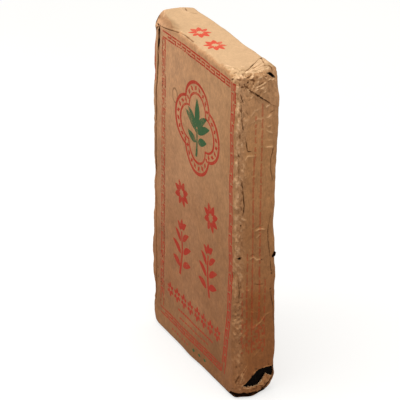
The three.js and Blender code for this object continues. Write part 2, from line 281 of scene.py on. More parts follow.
# The same by points of the brick, round its corners and the tear.
CORNER_CREASES = [
    ([(85.5, -15.5, 350), (91.2, -17.5, 348.3), (92.5, -17.5, 345.5)], 0.5, 1.5),
    ([(89.7, -14.5, 349.5), (92.5, -15.5, 345.5)], 0.4, 1),
    ([(92.5, -10, 345.5), (92, -6.5, 347.2), (91.2, -5.5, 348.3)], 0.8, 1.2),
    ([(89.7, -12.5, 349.5), (87.5, -8.5, 350), (85.5, -5.5, 350)], 0.4, 1),
    ([(90.8, -1.5, 348.7), (90.1, 3, 349.3), (87.5, 8, 350)], 0.4, 1.4),
    ([(83, -23.5, 345), (87, -22.8, 347.6)], 0.5, 1),
    ([(92.5, -4.5, 344), (92.5, 0, 345), (92, 5.5, 347.2)], 0.3, 1.2),
    ([(92.1, -13.5, 346.9), (92, -10.5, 347.2), (91.2, -8, 348.3), (90.8, -7, 348.7)], -0.7, 1),
    ([(83, 13, 350), (82.5, 16.5, 350), (87.5, 16.5, 350), (90.6, 17, 348.9),
      (91.6, 17.5, 347.9)], -0.9, 1.2),
    ([(90.3, -22.5, 346.2), (91.9, -20.7, 345.9), (92.4, -19, 346)], -0.7, 1),
    ([(82, -23.5, 343), (87, -23.4, 346)], -0.6, 0.9),
    ([(88, -23.5, 340), (90.8, -22.2, 340.5), (92.1, -20.4, 339.5)], -0.5, 1),
    ([(92, -20.7, 342.5), (92.1, -20.4, 339.5)], -0.5, 0.9),
    ([(92.1, -2.5, 346.9), (92.5, -2.5, 345)], -0.7, 0.8),
    ([(-77, -23.5, 341), (-64.5, -23.5, 342.5), (-52, -23.5, 345), (-42.5, -23.1, 346.9),
      (-33.5, -22, 348.5)], -0.75, 0.9),
    ([(-58, -21.8, 348.7), (-50.5, -22.2, 348.3), (-45, -20.7, 349.5),
      (-38.5, -19.5, 349.9)], -0.2, 2.4),
    ([(-33.5, -22, 348.5), (-24, -21.1, 349.3), (-13, -21.1, 349.3), (-4, -21.1, 349.3)], -0.35, 1.2),
    ([(-90.8, -20.5, 348.3), (-91, -22, 346)], -1, 1.5),
    ([(-91, -22, 344.5), (-91, -22, 342), (-89.4, -23.1, 339.5)], -1, 1.5),
    ([(91.2, -21.8, 17), (92.1, -20.4, 21.5), (92.5, -19, 24.5), (92.5, -17.5, 27.5)], -0.6, 1.1),
    ([(92.1, -20.4, 17.5), (92.4, -19.5, 20.5)], 0.5, 0.9),
    ([(92, -20.7, 37), (92.3, -19.9, 35.5)], -0.6, 1.2),
    ([(92.4, 19.5, 17), (92.4, 19.5, 15.5), (92.5, 18.5, 12.5), (92.5, 17, 9), (92.5, 14.5, 7),
      (92.5, 12, 6), (92.5, 7, 6)], -1, 1.1),
    ([(88.5, -23.4, 11.5), (90.1, -22.8, 11.5)], -0.6, 0.9),
]
# Those of them that lie flat on one side.
FLAT_CREASES = {
    "side": [
        ([(-4, 335.5), (0.5, 337), (5, 338.5), (7.5, 340.5)], 0.7, 1.1),
        ([(-2, 333.5), (3.5, 334.5), (6.5, 335.5)], 0.45, 1.1),
        ([(8.5, 341), (12, 342.5), (14.5, 341), (18, 341.5)], 0.6, 1.1),
        ([(-13, 336), (-10.5, 334)], 0.6, 1.1), ([(-11, 340.5), (-10.5, 343.5)], 0.5, 0.9),
        ([(6, 345), (8, 343.5)], 0.5, 0.9), ([(3.5, 328.5), (8, 331)], 0.35, 1.1),
        ([(-7.5, 335.5), (-5, 339)], 0.3, 1), ([(-10.5, 345), (-7.5, 344.5), (-5.5, 343)], -0.7, 1.3),
        ([(-2.5, 338), (1.5, 338.5), (5, 340.5)], -0.5, 1), ([(-7, 341.5), (-5.5, 338)], -0.5, 1),
        ([(-16.5, 342.5), (-15, 339), (-13, 337.5), (-10.5, 335.5), (-8.5, 334.5)], -0.4, 1),
        ([(-19, 338.5), (-16, 338)], -0.4, 1), ([(5.5, 345), (8, 345.5)], -0.5, 0.8),
        ([(-13.5, 342.5), (-11, 342.5)], -0.9, 0.9), ([(-12, 345), (-12, 343.5)], -0.5, 0.8),
        ([(-16.5, 25), (-15, 29), (-12.5, 33), (-10, 35.5), (-8.5, 39)], 0.35, 0.9),
        ([(-14.5, 30.5), (-12.5, 28.5)], -0.5, 1), ([(-4.5, 21), (-2.5, 23), (1, 26.5)], 0.6, 0.9),
        ([(-6, 20), (-4.5, 23.5), (-2.5, 26)], -0.5, 0.9), ([(-4, 25.5), (0, 27.5)], 0.4, 0.9),
        ([(-1.5, 30.5), (4, 28.5)], -0.5, 0.9), ([(7, 12), (9, 15.5), (12, 19.5)], 0.7, 1),
        ([(10, 11.5), (13, 9.5), (15, 9)], -0.6, 1),
        ([(3.5, 11), (6.5, 9.5), (9, 8.5), (8.5, 7.5), (6, 7.5)], -0.8, 0.9),
        ([(0.5, 12), (1.5, 10), (0.5, 9), (-1, 9), (-2.5, 9.5), (-5, 9.5)], -0.9, 0.9),
        ([(-15, 12.5), (-9.5, 11), (-3, 11), (-0.5, 11.5)], 0.6, 0.9), ([(-5.5, 6), (-1.5, 5.5)], 0.6, 0.9),
        ([(-6, 8), (-4, 8)], -0.4, 0.9), ([(15.5, 32), (16.5, 29.5)], -0.7, 1.1),
        ([(8, 30), (12.5, 29.5), (17, 29.5)], 0.4, 0.9),
    ],
    "top": [
        ([(79, 0), (78, 4.5), (81, 7)], 0.35, 1.1), ([(82, -2.5), (81.5, 0), (80.5, 2.5)], -0.6, 0.9),
        ([(80, 12.5), (83.5, 11.5)], -0.5, 0.9), ([(61.5, 19), (70, 16), (78.5, 14), (83, 13)], -0.4, 1.2),
        ([(88, -14), (82, -7.5), (78, -2), (74, 2), (67.5, 10), (63, 15.5), (61, 18.5)], -0.6, 1.1),
        ([(75.5, 0.5), (71.5, 5)], -0.5, 1.3), ([(62.5, 17), (61, 19)], -0.5, 1.3),
        ([(-87, 10.5), (-82.5, 9), (-79, 8.5)], -0.4, 1.3),
        ([(-76.5, 8), (-74.5, 12.5), (-69, 17.5)], -0.35, 1.1),
    ],
    "front": [
        ([(-86, 340.5), (-82, 341), (-80, 339.5), (-83, 336), (-85.5, 332.5), (-84, 331.5)], -0.7, 1.1),
        ([(-86.5, 338), (-86.5, 336), (-85.5, 331)], -0.9, 1.2),
    ],
}
CORNER_CREASES += on_faces(FLAT_CREASES)
# Painted shade, almost black, in gaps, deep creases and along shaded edges, again by points of the brick.
SHADE_LINES = [
    ([(92.4, 19.5, 18.5), (92.4, 19.5, 15.5), (92.5, 18.5, 12.5), (92.5, 17, 9), (92.5, 14.5, 7),
      (92.5, 12, 6), (92.5, 7, 6)], 1.6, 1.3),
    ([(-90.8, -20.3, 348.5), (-91.2, -21.2, 347), (-91.6, -21.3, 345)], 1.2, 1.3),
    ([(-91.6, -21.4, 343.5), (-91.6, -21.5, 341.5), (-90.6, -22.3, 340)], 1.2, 1.3),
]
# And again those that lie flat.
FLAT_SHADE_LINES = {
    "side": [
        ([(-10, 333), (-6, 330), (-1.5, 326.5), (4, 323)], 0.2, 1),
    ],
    "front": [
        ([(-83.6, 339), (-83.5, 336), (-84.6, 332)], 0.7, 1.2),
        ([(-87, 341.5), (-83, 340.5), (-79.5, 341)], 0.9, 1.2),
        ([(-76.5, 343), (-77, 337.5), (-77.5, 329.5), (-78.5, 322.5), (-79, 316)], 2.2, 1.7),
    ],
}
SHADE_LINES += on_faces(FLAT_SHADE_LINES)


def creased(p, creases):
    """Summed height of creases: sharp crests, running out at both ends."""
    height = np.zeros(len(p))
    for path, rise, half_width in creases:
        path = np.array(path, float)
        near = ((p > path.min(axis=0) - half_width) & (p < path.max(axis=0) + half_width)).all(axis=1)
        if near.any():
            far, share = path_distance(p[near], path)
            taper = np.sqrt(np.sin(np.pi * np.clip(share, 0.02, 0.98)))
            height[near] += rise * taper * np.clip(1 - far / half_width, 0, 1)
    return height


def curls(seed, count, low, high, turns, rises, lengths):
    """Short bowed creases strewn over a box of a side, as paths of three points."""
    draw = np.random.default_rng(seed)
    made = []
    for _ in range(count):
        at = np.array([draw.uniform(low[0], high[0]), draw.uniform(low[1], high[1])])
        turn, length = math.radians(draw.uniform(*turns)), draw.uniform(*lengths)
        way = np.array([math.cos(turn), math.sin(turn)]) * length / 2
        bow = np.array([-way[1], way[0]]) * draw.uniform(-0.6, 0.6)
        rise = draw.uniform(*rises) * draw.choice([-1, 1], p=[0.4, 0.6])
        made.append(([tuple(at - way), tuple(at + bow), tuple(at + way)], rise, draw.uniform(0.9, 1.4)))
    return made


# Seed, count, two corners of the box, and the ranges of slant, height and length.
SIDE_CURL_BOXES = [
    (3, 44, (-22, 62), (-14.5, 112), (25, 80), (0.3, 0.6), (2.5, 6.5)),
    (23, 10, (-22, 28), (-15, 62), (25, 80), (0.12, 0.3), (3, 7)),
    (5, 22, (-22, 112), (-15, 190), (40, 140), (0.25, 0.5), (3, 9)),
    (7, 44, (-22, 190), (-14, 325), (40, 140), (0.2, 0.5), (3, 10)),
    (13, 44, (-20, 324), (20, 345), (0, 70), (0.2, 0.6), (3, 8)),
    (17, 34, (-10, 20), (21, 318), (-20, 60), (0.12, 0.3), (5, 14)),
    (19, 14, (-20, 3), (20, 18), (-10, 60), (0.3, 0.6), (3, 8)),
]
TOP_CURL_BOX = (29, 26, (74, -16), (91, 18), (20, 110), (0.2, 0.5), (3, 8))
# The patch below the corner hole is smooth: curls that start beyond this y, between these heights, go.
SMOOTH_FROM, SMOOTH_LOW, SMOOTH_HIGH = 7, 326, 336


def in_smooth_patch(curl):
    y, z = curl[0][0]
    return y > SMOOTH_FROM and SMOOTH_LOW < z < SMOOTH_HIGH


SIDE_CURLS = [curl for box in SIDE_CURL_BOXES for curl in curls(*box) if not in_smooth_patch(curl)]
TOP_CREASES += curls(*TOP_CURL_BOX)


def worn(p):
    """How crinkled the paper is, from 0 on the smooth front to 1 along the right front edge."""
    x, y, z = p.T
    side = ramp(x, RIGHT - 5, RIGHT - 1)
    strip = bell((x, RIGHT, 6.5), (y, -18, 5))
    ear = ramp(z, HEIGHT - 5, HEIGHT - 1) * ramp(x - y * 0.9, 84, 88)
    corner = bell((x, 88, 12), (y, -19, 9), (z, 346, 11))
    left = bell((x, -RIGHT, 7), (y, -BACK, 7))
    fold = side * (ramp(z, 316, 330) + bell((z, 8, 12)))
    return np.clip(strip + ear + corner + 0.5 * left + 0.7 * fold + 0.25 * side, 0, 1)


def detail(p):
    """The paper's sharp relief at nominal skin points, on top of the long waves."""
    x, y, z = p.T
    side = ramp(x, RIGHT - 5, RIGHT - 1)
    front = ramp(-y, BACK - 3, BACK - 0.5)
    top = ramp(z, HEIGHT - 5, HEIGHT - 1)
    edges = bell((np.abs(x), RIGHT, 7), (np.abs(y), BACK, 7))
    shoulder = bell((z, HEIGHT, 6), (y, -BACK, 6))
    rough = worn(p)
    height = where_needed(rough, p, lambda q: 0.22 * facets(q, 6.5, 11) + 0.2 * facets(q, 3.6, 23))
    height += where_needed(edges + shoulder, p, lambda q: 0.22 * facets(q, 7, 41))
    height += 0.05 * facets(p, 11, 67, 3) + 0.06 * facets(p, 19, 71, 3)
    height += where_needed(side, p, lambda q: creased(q[:, 1:], SIDE_CREASES + SIDE_CURLS))
    height += where_needed(top, p, lambda q: creased(q[:, :2], TOP_CREASES))
    height += where_needed(front, p, lambda q: creased(q[:, ::2], FRONT_CREASES))
    return height + 1.3 * creased(p, CORNER_CREASES)


def new_paper_wave(p):
    """Height of the paper's skin over the plain rounded brick."""
    x, y, z = p.T
    soft = 0.25 * noise(p / (26, 22, 34), 71) + 0.12 * noise(p / 12, 73)
    top = ramp(z, HEIGHT - 3, HEIGHT)
    puckers = bell((z, HEIGHT, 5), (y, -BACK, 5)) * 0.7 * noise(p / (7, 9, 9), 79)
    return crumple(p) + 0.2 + soft * (1 - 0.4 * top) + puckers + detail(p)


WAVES = {}


def paper_wave(p):
    """The same, kept for the next sheet over the same points."""
    key = hash(p.tobytes())
    if key not in WAVES:
        WAVES[key] = new_paper_wave(p)
    return WAVES[key]


def lifted(lift):
    """The skin's height for a sheet that lies on another one, raised by lift if there is one."""
    return lambda p: paper_wave(p) + (lift(p) if lift else 0)


# ---- meshes ----

def graded(*stops):
    """Grid lines from stop to stop; each stop is (place, step up to the next one)."""
    lines = [np.array([stops[0][0]], float)]
    for (a, step), (b, _) in zip(stops, stops[1:]):
        lines.append(np.linspace(a, b, max(1, round((b - a) / step)) + 1)[1:])
    return np.concatenate(lines)


def box_lines(edge_step, steps):
    """Grid lines along x, y and z, closer together over the rounded edges."""
    rim = EDGE_RADIUS
    return [graded((-half, edge_step), (rim - half, step), (half - rim, edge_step), (half, 0))
            for half, step in zip(HALF, steps)]


PAPER_LINES = box_lines(1.25, (4, 3.7, 4))
CAVITY_LINES = box_lines(2.5, (9, 6, 9))
# Closest together at the right and at the foot, where the tear shows the tea.
TEA_LINES = [
    graded((-RIGHT, 2.5), (-87.5, 4), (70, 2), (87.5, 1.2), (RIGHT, 0)),
    graded((-BACK, 1.3), (BACK, 0)),
    graded((-175, 1.2), (-140, 3), (170, 2.5), (175, 0)),
]
# The longest edges that the paper's triangles keep.
ELSEWHERE = 5.7
DRAWN_EDGE = 0.9           # within CREASE_REACH of a crease drawn on the side or the top
CREASE_EDGE = 0.65         # and of one round a corner
CREASE_REACH = 1.1
# The same in boxes of the sharp-edged brick: two corners of each box, and the longest edge in it.
FINER = [
    ((-93, -24, -1), (93, -23, 351), 4.1),
    ((92, -24, -1), (93, 24, 351), 1.95),
    ((84, -24, -1), (93, -23, 351), 1.6),
    ((92, -24, -1), (93, -12, 351), 1.25),
    ((88, -24, -1), (93, -23, 351), 1.2),
    ((92, -24, 308), (93, 24, 351), 1.4),
    ((92, -24, -1), (93, 24, 38), 1.25),
    ((-93, -24, 349), (93, 24, 351), 3.1),
    ((60, -24, 349), (93, 24, 351), 1.45),
    ((72, -24, 334), (93, -23, 351), 1.2),
    ((-93, -24, 336), (93, -23, 351), 1.5),
    ((-93, -24, 349), (93, -16, 351), 1.5),
    ((-93, -24, -1), (-74, -23, 351), 2.05),
    ((-93, -24, -1), (-92, 24, 351), 2.9),
]


def mesh_of(points, triangles, name="part"):
    mesh = bpy.data.meshes.new(name)
    mesh.vertices.add(len(points))
    mesh.vertices.foreach_set("co", np.asarray(points, np.float32).ravel())
    mesh.loops.add(3 * len(triangles))
    mesh.loops.foreach_set("vertex_index", np.asarray(triangles, np.int32).ravel())
    mesh.polygons.add(len(triangles))
    mesh.polygons.foreach_set("loop_start", np.arange(0, 3 * len(triangles), 3, dtype=np.int32))
    mesh.update(calc_edges=True)
    return mesh


def lattice_box(shape):
    """Lattice index of each point on the faces of a box of that many lines, and its triangles."""
    index = np.indices(shape)
    last = np.array(shape)[:, None, None, None] - 1
    on_face = ((index == 0) | (index == last)).any(axis=0)
    ids = np.full(shape, -1)
    ids[on_face] = np.arange(on_face.sum())
    triangles = []
    for axis in range(3):
        for end in (0, -1):
            sheet = np.take(ids, end, axis)
            a, b = sheet[:-1, :-1].ravel(), sheet[1:, :-1].ravel()
            c, d = sheet[1:, 1:].ravel(), sheet[:-1, 1:].ravel()
            both = np.concatenate([np.stack([a, b, c], 1), np.stack([a, c, d], 1)])
            outward = (end == -1) != (axis == 1)
            triangles.append(both if outward else both[:, ::-1])
    return np.argwhere(on_face), np.concatenate(triangles)


def sharp_box(lines):
    at, triangles = lattice_box([len(line) for line in lines])
    return np.stack([line[at[:, i]] for i, line in enumerate(lines)], 1), triangles


def longest_wanted(p):
    """The longest edge that may stay round points of the sharp-edged brick."""
    wanted = np.full(len(p), ELSEWHERE)
    for low, high, length in FINER:
        inside = ((p + UP > low) & (p + UP < high)).all(axis=1)
        wanted[inside] = np.minimum(wanted[inside], length)
    skin = rounded(p)[0]
    kinds = [
        (SIDE_CREASES, [1, 2], skin[:, 0] > RIGHT - 0.01, DRAWN_EDGE),
        (TOP_CREASES, [0, 1], skin[:, 2] > HEIGHT - 0.01, DRAWN_EDGE),
        (CORNER_CREASES, [0, 1, 2], skin[:, 2] > -1, CREASE_EDGE),
    ]
    for creases, axes, there, length in kinds:
        some = np.flatnonzero(there)
        wanted[some[close_to(skin[some][:, axes], creases, CREASE_REACH)]] = length
    return wanted


def close_to(p, creases, reach):
    """Which of the points lie within reach of a crease's path."""
    near = np.zeros(len(p), bool)
    for path, _, _ in creases:
        path = np.array(path, float)
        some = np.flatnonzero(((p > path.min(axis=0) - reach) & (p < path.max(axis=0) + reach)).all(axis=1))
        near[some[path_distance(p[some], path)[0] < reach]] = True
    return near


def refined(points, triangles):
    """Halves edges, each triangle's longest first, until none is longer than wanted."""
    while True:
        ends = np.sort(np.concatenate([triangles[:, [i, (i + 1) % 3]] for i in range(3)]), axis=1)
        keys, edge = np.unique(ends[:, 0] * len(points) + ends[:, 1], return_inverse=True)
        edge = edge.reshape(3, -1).T
        start, end = points[keys // len(points)], points[keys % len(points)]
        length, middle = np.linalg.norm(end - start, axis=1), (start + end) / 2
        cut = length > longest_wanted(middle)
        if not cut.any():
            return points, triangles
        first = length[edge].argmax(axis=1)
        longest = edge[np.arange(len(edge)), first]
        late = cut[edge].any(axis=1) & ~cut[longest]
        while late.any():
            cut[longest[late]] = True
            late = cut[edge].any(axis=1) & ~cut[longest]
        number = np.full(len(keys), -1)
        number[cut] = len(points) + np.arange(cut.sum())
        points = np.concatenate([points, middle[cut]])
        turn = (first[:, None] + np.arange(3)) % 3
        corners, new = np.take_along_axis(triangles, turn, 1), np.take_along_axis(number[edge], turn, 1)
        whole = new[:, 0] < 0
        (a, b, c), (m, n, k) = corners[~whole].T, new[~whole].T
        parts = [corners[whole]]
        for left, right, other in ((b, c, n), (c, a, k)):
            halved = other >= 0
            parts.append(np.stack([m, left, right], 1)[~halved])
            parts.append(np.stack([m, left, other], 1)[halved])
            parts.append(np.stack([m, other, right], 1)[halved])
        triangles = np.concatenate(parts)


def brick_skin(box, offset, wave):
    """The whole brick's skin as a closed mesh, offset outwards or, below zero, inwards."""
    return mesh_of(on_brick(box[0], offset, wave), box[1])


PAPER_BOX = refined(*sharp_box(PAPER_LINES))
CAVITY_BOX = sharp_box(CAVITY_LINES)
TEA_BOX = sharp_box(TEA_LINES)


def paper_skin(offset=0.0, lift=None):
    return brick_skin(PAPER_BOX, offset, lifted(lift))


def skin_slab(side, low, high, lift=None):
    """The paper's surface on one side of the brick as a thin closed slab."""
    across, face = SIDES[side][2:]
    points, triangles = PAPER_BOX
    chosen = triangles[(np.abs(points[triangles][:, :, across] - face) < 1e-6).all(axis=1)]
    used, chosen = np.unique(chosen, return_inverse=True)
    chosen = chosen.reshape(-1, 3)
    count = len(used)
    ends = np.concatenate([chosen[:, [i, (i + 1) % 3]] for i in range(3)])
    a, b = ends[~np.isin(ends[:, 0] * count + ends[:, 1], ends[:, 1] * count + ends[:, 0])].T
    walls = [np.stack([b, a, a + count], 1), np.stack([b, a + count, b + count], 1)]
    shells = [on_brick(points[used], offset, lifted(lift)) for offset in (high, low)]
    return mesh_of(np.concatenate(shells), np.concatenate([chosen, chosen[:, ::-1] + count] + walls))


def joined(meshes):
    """Several closed meshes as one."""
    points, triangles, count = [], [], 0
    for more_points, more_triangles in meshes:
        points.append(np.asarray(more_points, float))
        triangles.append(np.asarray(more_triangles) + count)
        count += len(more_points)
    return mesh_of(np.concatenate(points), np.concatenate(triangles))


def boolean(mesh, other, operation):
    """mesh with other cut away, added or crossed; both are used up."""
    objects = [bpy.data.objects.new("operand", m) for m in (mesh, other)]
    for each in objects:
        bpy.context.scene.collection.objects.link(each)
    modifier = objects[0].modifiers.new("cut", "BOOLEAN")
    modifier.operation, modifier.solver, modifier.object = operation, "MANIFOLD", objects[1]
    graph = bpy.context.evaluated_depsgraph_get()
    made = bpy.data.meshes.new_from_object(objects[0].evaluated_get(graph))
    for each in objects:
        bpy.data.objects.remove(each)
    for used in (mesh, other):
        bpy.data.meshes.remove(used)
    return made


def tree_of(points):
    """A search tree that finds the nearest of the points."""
    tree = KDTree(len(points))
    for index, place in enumerate(points):
        tree.insert(place, index)
    tree.balance()
    return tree


# The paper's points on the plain rounded brick, and where they really lie.
SKIN, LYING = rounded(PAPER_BOX[0])[0], on_brick(PAPER_BOX[0], 0.0, paper_wave)
LYING_TREE = tree_of(LYING)


# ---- drawn outlines ----

REACH_OUT = 6.0            # blocks stand this far out of their side
THROUGH = 12.0             # deep enough for a cut to pass through the paper
SURFACE = 3.0              # shallow enough to end at the rounded edges


def block(side, outline, below):
    """A straight-sided block over an outline, from so far below the side's face to above it."""
    flat = [Vector((u, v, 0)) for u, v in outline]
    area = sum(a.x * b.y - b.x * a.y for a, b in zip(flat, flat[1:] + flat[:1]))
    if area < 0:
        flat, outline = flat[::-1], list(outline)[::-1]
    count = len(flat)
    top = [t if (flat[t[1]] - flat[t[0]]).cross(flat[t[2]] - flat[t[0]]).z > 0 else t[::-1]
           for t in tessellate_polygon([flat])]
    sides = []
    for i in range(count):
        j = (i + 1) % count
        sides += [(i, j, j + count), (i, j + count, i + count)]
    bottom = [t[::-1] for t in top]
    faces = np.array([tuple(k + count for k in t) for t in top] + bottom + sides)
    points = np.concatenate([stand_on(side, outline, -below), stand_on(side, outline, REACH_OUT)])
    return points, faces


def ribbon(side, left, right, below=SURFACE, closed=False):
    """A block over the band between two drawn lines of as many points each."""
    n = len(left)
    uv = list(left) + list(right)
    points = np.concatenate([stand_on(side, uv, -below), stand_on(side, uv, REACH_OUT)])
    low_left, low_right, high_left, high_right = 0, n, 2 * n, 3 * n
    rails = [high_right, high_left, low_left, low_right]
    faces = []
    for i in range(n if closed else n - 1):
        j = (i + 1) % n
        for a, b in zip(rails, rails[1:] + rails[:1]):
            faces += [(a + i, a + j, b + j), (a + i, b + j, b + i)]
    if not closed:
        k = n - 1
        faces += [(high_right, high_left, low_left), (high_right, low_left, low_right)]
        faces.append((high_right + k, low_left + k, high_left + k))
        faces.append((high_right + k, low_right + k, low_left + k))
    return points, np.array(faces)


def smooth_path(path, steps):
    """A Catmull-Rom curve through the path's points."""
    p = np.array(path, float)
    p = np.concatenate([[2 * p[0] - p[1]], p, [2 * p[-1] - p[-2]]])
    spots = np.linspace(0, len(p) - 3 - 1e-9, steps + 1)
    out = []
    for s in spots:
        i, t = int(s), s - int(s)
        a, b, c, d = p[i:i + 4]
        bent = (2 * a - 5 * b + 4 * c - d) * t**2 + (3 * b - a - 3 * c + d) * t**3
        out.append(0.5 * (2 * b + (c - a) * t + bent))
    return np.array(out)


def banded(path, half_widths):
    """The left and right lines of a band of those half widths along a path."""
    path = np.array(path, float)
    way = np.gradient(path, axis=0)
    way /= np.linalg.norm(way, axis=1)[:, None]
    normal = np.stack([-way[:, 1], way[:, 0]], 1)
    half = np.asarray(half_widths, float).reshape(-1, 1)
    return path + normal * half, path - normal * half


def spindle(side, path, width, thickest=0.5):
    """A narrow through-going block along a path, running out at both ends."""
    steps = 4 * len(path)
    line = smooth_path(path, steps)
    along = np.linspace(0.03, 0.97, steps + 1)
    swing = np.sin(np.pi * along ** (math.log(0.5) / math.log(thickest)))
    left, right = banded(line, 0.5 * width * swing)
    return ribbon(side, left, right, THROUGH)


def stroke(side, path, width, warp=None):
    """A block along a path of straight legs, of one width, with mitred corners."""
    p = np.array(path, float)
    way = np.diff(p, axis=0)
    way /= np.linalg.norm(way, axis=1)[:, None]
    normals = np.stack([-way[:, 1], way[:, 0]], 1)
    ends = np.concatenate([[p[0] - way[0] * width / 2], p[1:-1], [p[-1] + way[-1] * width / 2]])
    shift = []
    for i in range(len(p)):
        a, b = normals[max(i - 1, 0)], normals[min(i, len(normals) - 1)]
        shift.append((a + b) / (1 + a @ b))
    shift = np.array(shift) * width / 2
    left, right = ends + shift, ends - shift
    if warp:
        left, right = warp(left), warp(right)
    return ribbon(side, left, right)


def ragged(path, amount, seed, spacing=1.6):
    """A drawn line with points close together, each pushed sideways a little."""
    p = np.array(path, float)
    legs = np.linalg.norm(np.diff(p, axis=0), axis=1)
    along = np.concatenate([[0], np.cumsum(legs)])
    spots = np.linspace(0, along[-1], max(3, int(along[-1] / spacing)) + 1)
    line = np.stack([np.interp(spots, along, p[:, i]) for i in (0, 1)], 1)
    way = np.gradient(line, axis=0)
    normal = np.stack([-way[:, 1], way[:, 0]], 1) / np.linalg.norm(way, axis=1)[:, None]
    push = np.random.default_rng(seed).normal(size=len(line)) * amount
    push[[0, -1]] = 0
    return [tuple(q) for q in line + normal * push[:, None]]


# ---- the wrapper's sheets ----

SIDE_EDGE = [
    (15.5, 332), (16.2, 300), (16.6, 272), (14.6, 258), (14.3, 250.8), (14.7, 244.4), (15.9, 238.8),
    (16.2, 215), (15.7, 195.7), (13.7, 186.3), (13, 182), (12.9, 170), (14.6, 158.7), (15.5, 151.9),
    (16.6, 138.4), (17, 124), (16.3, 115), (18.3, 102.4), (20.1, 95.2), (20.6, 81.6), (21.8, 71), (30, 60),
]
FLAP_EDGE = [
    (-21, 343), (-14.7, 338.3), (-10.3, 333.9), (-5.9, 330.4), (-1.7, 327), (2.7, 323.5), (7.2, 320.2),
    (12.2, 316.5), (19, 312.5), (30, 309),
]
EAR_EDGE = [(99, -15.5), (88, -13), (80.3, -3.7), (72.3, 5.2), (64.3, 14.3), (60.7, 19.3), (62, 30)]
STRIP_EDGE = [
    (-76.6, 337), (-76.6, 325), (-77, 317.6), (-78.1, 310.7), (-80, 297), (-81.8, 285), (-82.4, 268.7),
    (-82.4, 246.6), (-83.7, 235), (-84, 178.6), (-83, 120), (-81.5, 74), (-84, 30),
]


def side_lift(p):
    """A lap rises from nothing at the front edge and settles again at the back edge."""
    return LAP * ramp(p[:, 1], -24, -12) * (1 - 0.9 * ramp(p[:, 1], 16, 21.5))


def flap_lift(p):
    return 2 * side_lift(p)


def ear_lift(p):
    return np.full(len(p), LAP)


def strip_lift(p):
    return LAP * (0.25 + 0.75 * ramp(p[:, 0], -RIGHT, -84))


def laps():
    sheet = [(-21, 4), (-21, 346), (8, 346)] + ragged(SIDE_EDGE, 0.14, 101) + [(30, 4)]
    flap = ragged(FLAP_EDGE, 0.12, 103) + [(30, 348), (-21, 348)]
    ear = ragged(EAR_EDGE, 0.12, 107) + [(99, 30)]
    strip = ragged(STRIP_EDGE, 0.1, 109) + [(-99, 30), (-99, 337)]
    return [
        (side_lift, "side", sheet),
        (flap_lift, "side", flap),
        (ear_lift, "top", ear),
        (strip_lift, "front", strip),
    ]


# Dark slits: the side they are on, their path, their width and where along them they are widest.
SLITS = [
    ("side", [(-17.6, 303.5), (-16.8, 298), (-16.2, 293.6)], 1, 0.75),
    ("side", [(17.3, 268.4), (15.1, 258.2), (14.8, 250.8), (15.2, 244.4), (16.4, 238.8),
      (17.6, 234.1)], 0.65, 0.4),
    ("side", [(-16.6, 238.6), (-15.8, 234), (-15.1, 229.8)], 0.85, 0.5),
    ("side", [(-15, 228.6), (-14.4, 222), (-13.8, 213.5), (-14.1, 208.2), (-15.2, 203.1)], 1.1, 0.6),
    ("side", [(16.1, 195.7), (14.1, 186.3), (13.4, 182.1), (13.3, 170.1), (15, 158.7),
      (15.9, 151.9)], 0.7, 0.4),
    ("side", [(17.2, 146), (17, 138.4), (18.2, 134.6)], 0.6, 0.5),
    ("side", [(16.9, 113.2), (18.8, 102.4), (20.5, 95.2), (21, 81.6), (22, 71.1)], 0.75, 0.4),
    ("front", [(-76.3, 338), (-77.1, 329.3), (-77.4, 322.7), (-78.6, 314.8)], 3.2, 0.4),
]
# Shallower ones, which end on the sheet below.
GROOVES = [
    ("side", [(-11, 335), (-10.3, 334.4), (-5.9, 330.9), (-1.7, 327.5), (2.7, 324), (5, 322.3)], 1.5, 0.5),
    ("side", [(5.2, 322.1), (7.2, 320.7), (12.2, 317)], 1, 0.3),
    ("side", [(-14.2, 286), (-12.6, 279.4), (-11.3, 270.7)], 0.9, 0.7),
    ("side", [(-11.3, 270.5), (-9.4, 270), (-7, 269.5)], 0.7, 0.4),
    ("side", [(-21.2, 270), (-20.4, 268), (-19.6, 266)], 0.8, 0.5),
    ("side", [(-18.8, 320.4), (-18.4, 312), (-17.6, 303.5)], 0.5, 0.4),
    ("side", [(-19.3, 331), (-18.2, 326.4), (-16.5, 322.5)], 0.6, 0.5),
    ("side", [(-20.4, 262), (-19.6, 250), (-20.8, 240)], 0.4, 0.5),
    ("side", [(-19, 130), (-17.4, 118), (-18.4, 108)], 0.45, 0.5),
    ("top", [(75.9, 0.5), (73.6, 3.2), (71.3, 5.9)], 1.3, 0.5),
    ("top", [(63.3, 16.8), (61.9, 18.4), (60.6, 19.8)], 2, 0.5),
    ("front", [(-79, 313.4), (-79.2, 302.5), (-80.4, 291.2), (-81.2, 279.9), (-82.6, 264),
      (-83.2, 235)], 1.5, 0.2),
    ("front", [(-83.4, 232), (-83.8, 205), (-83.8, 178.6)], 0.6, 0.5),
]
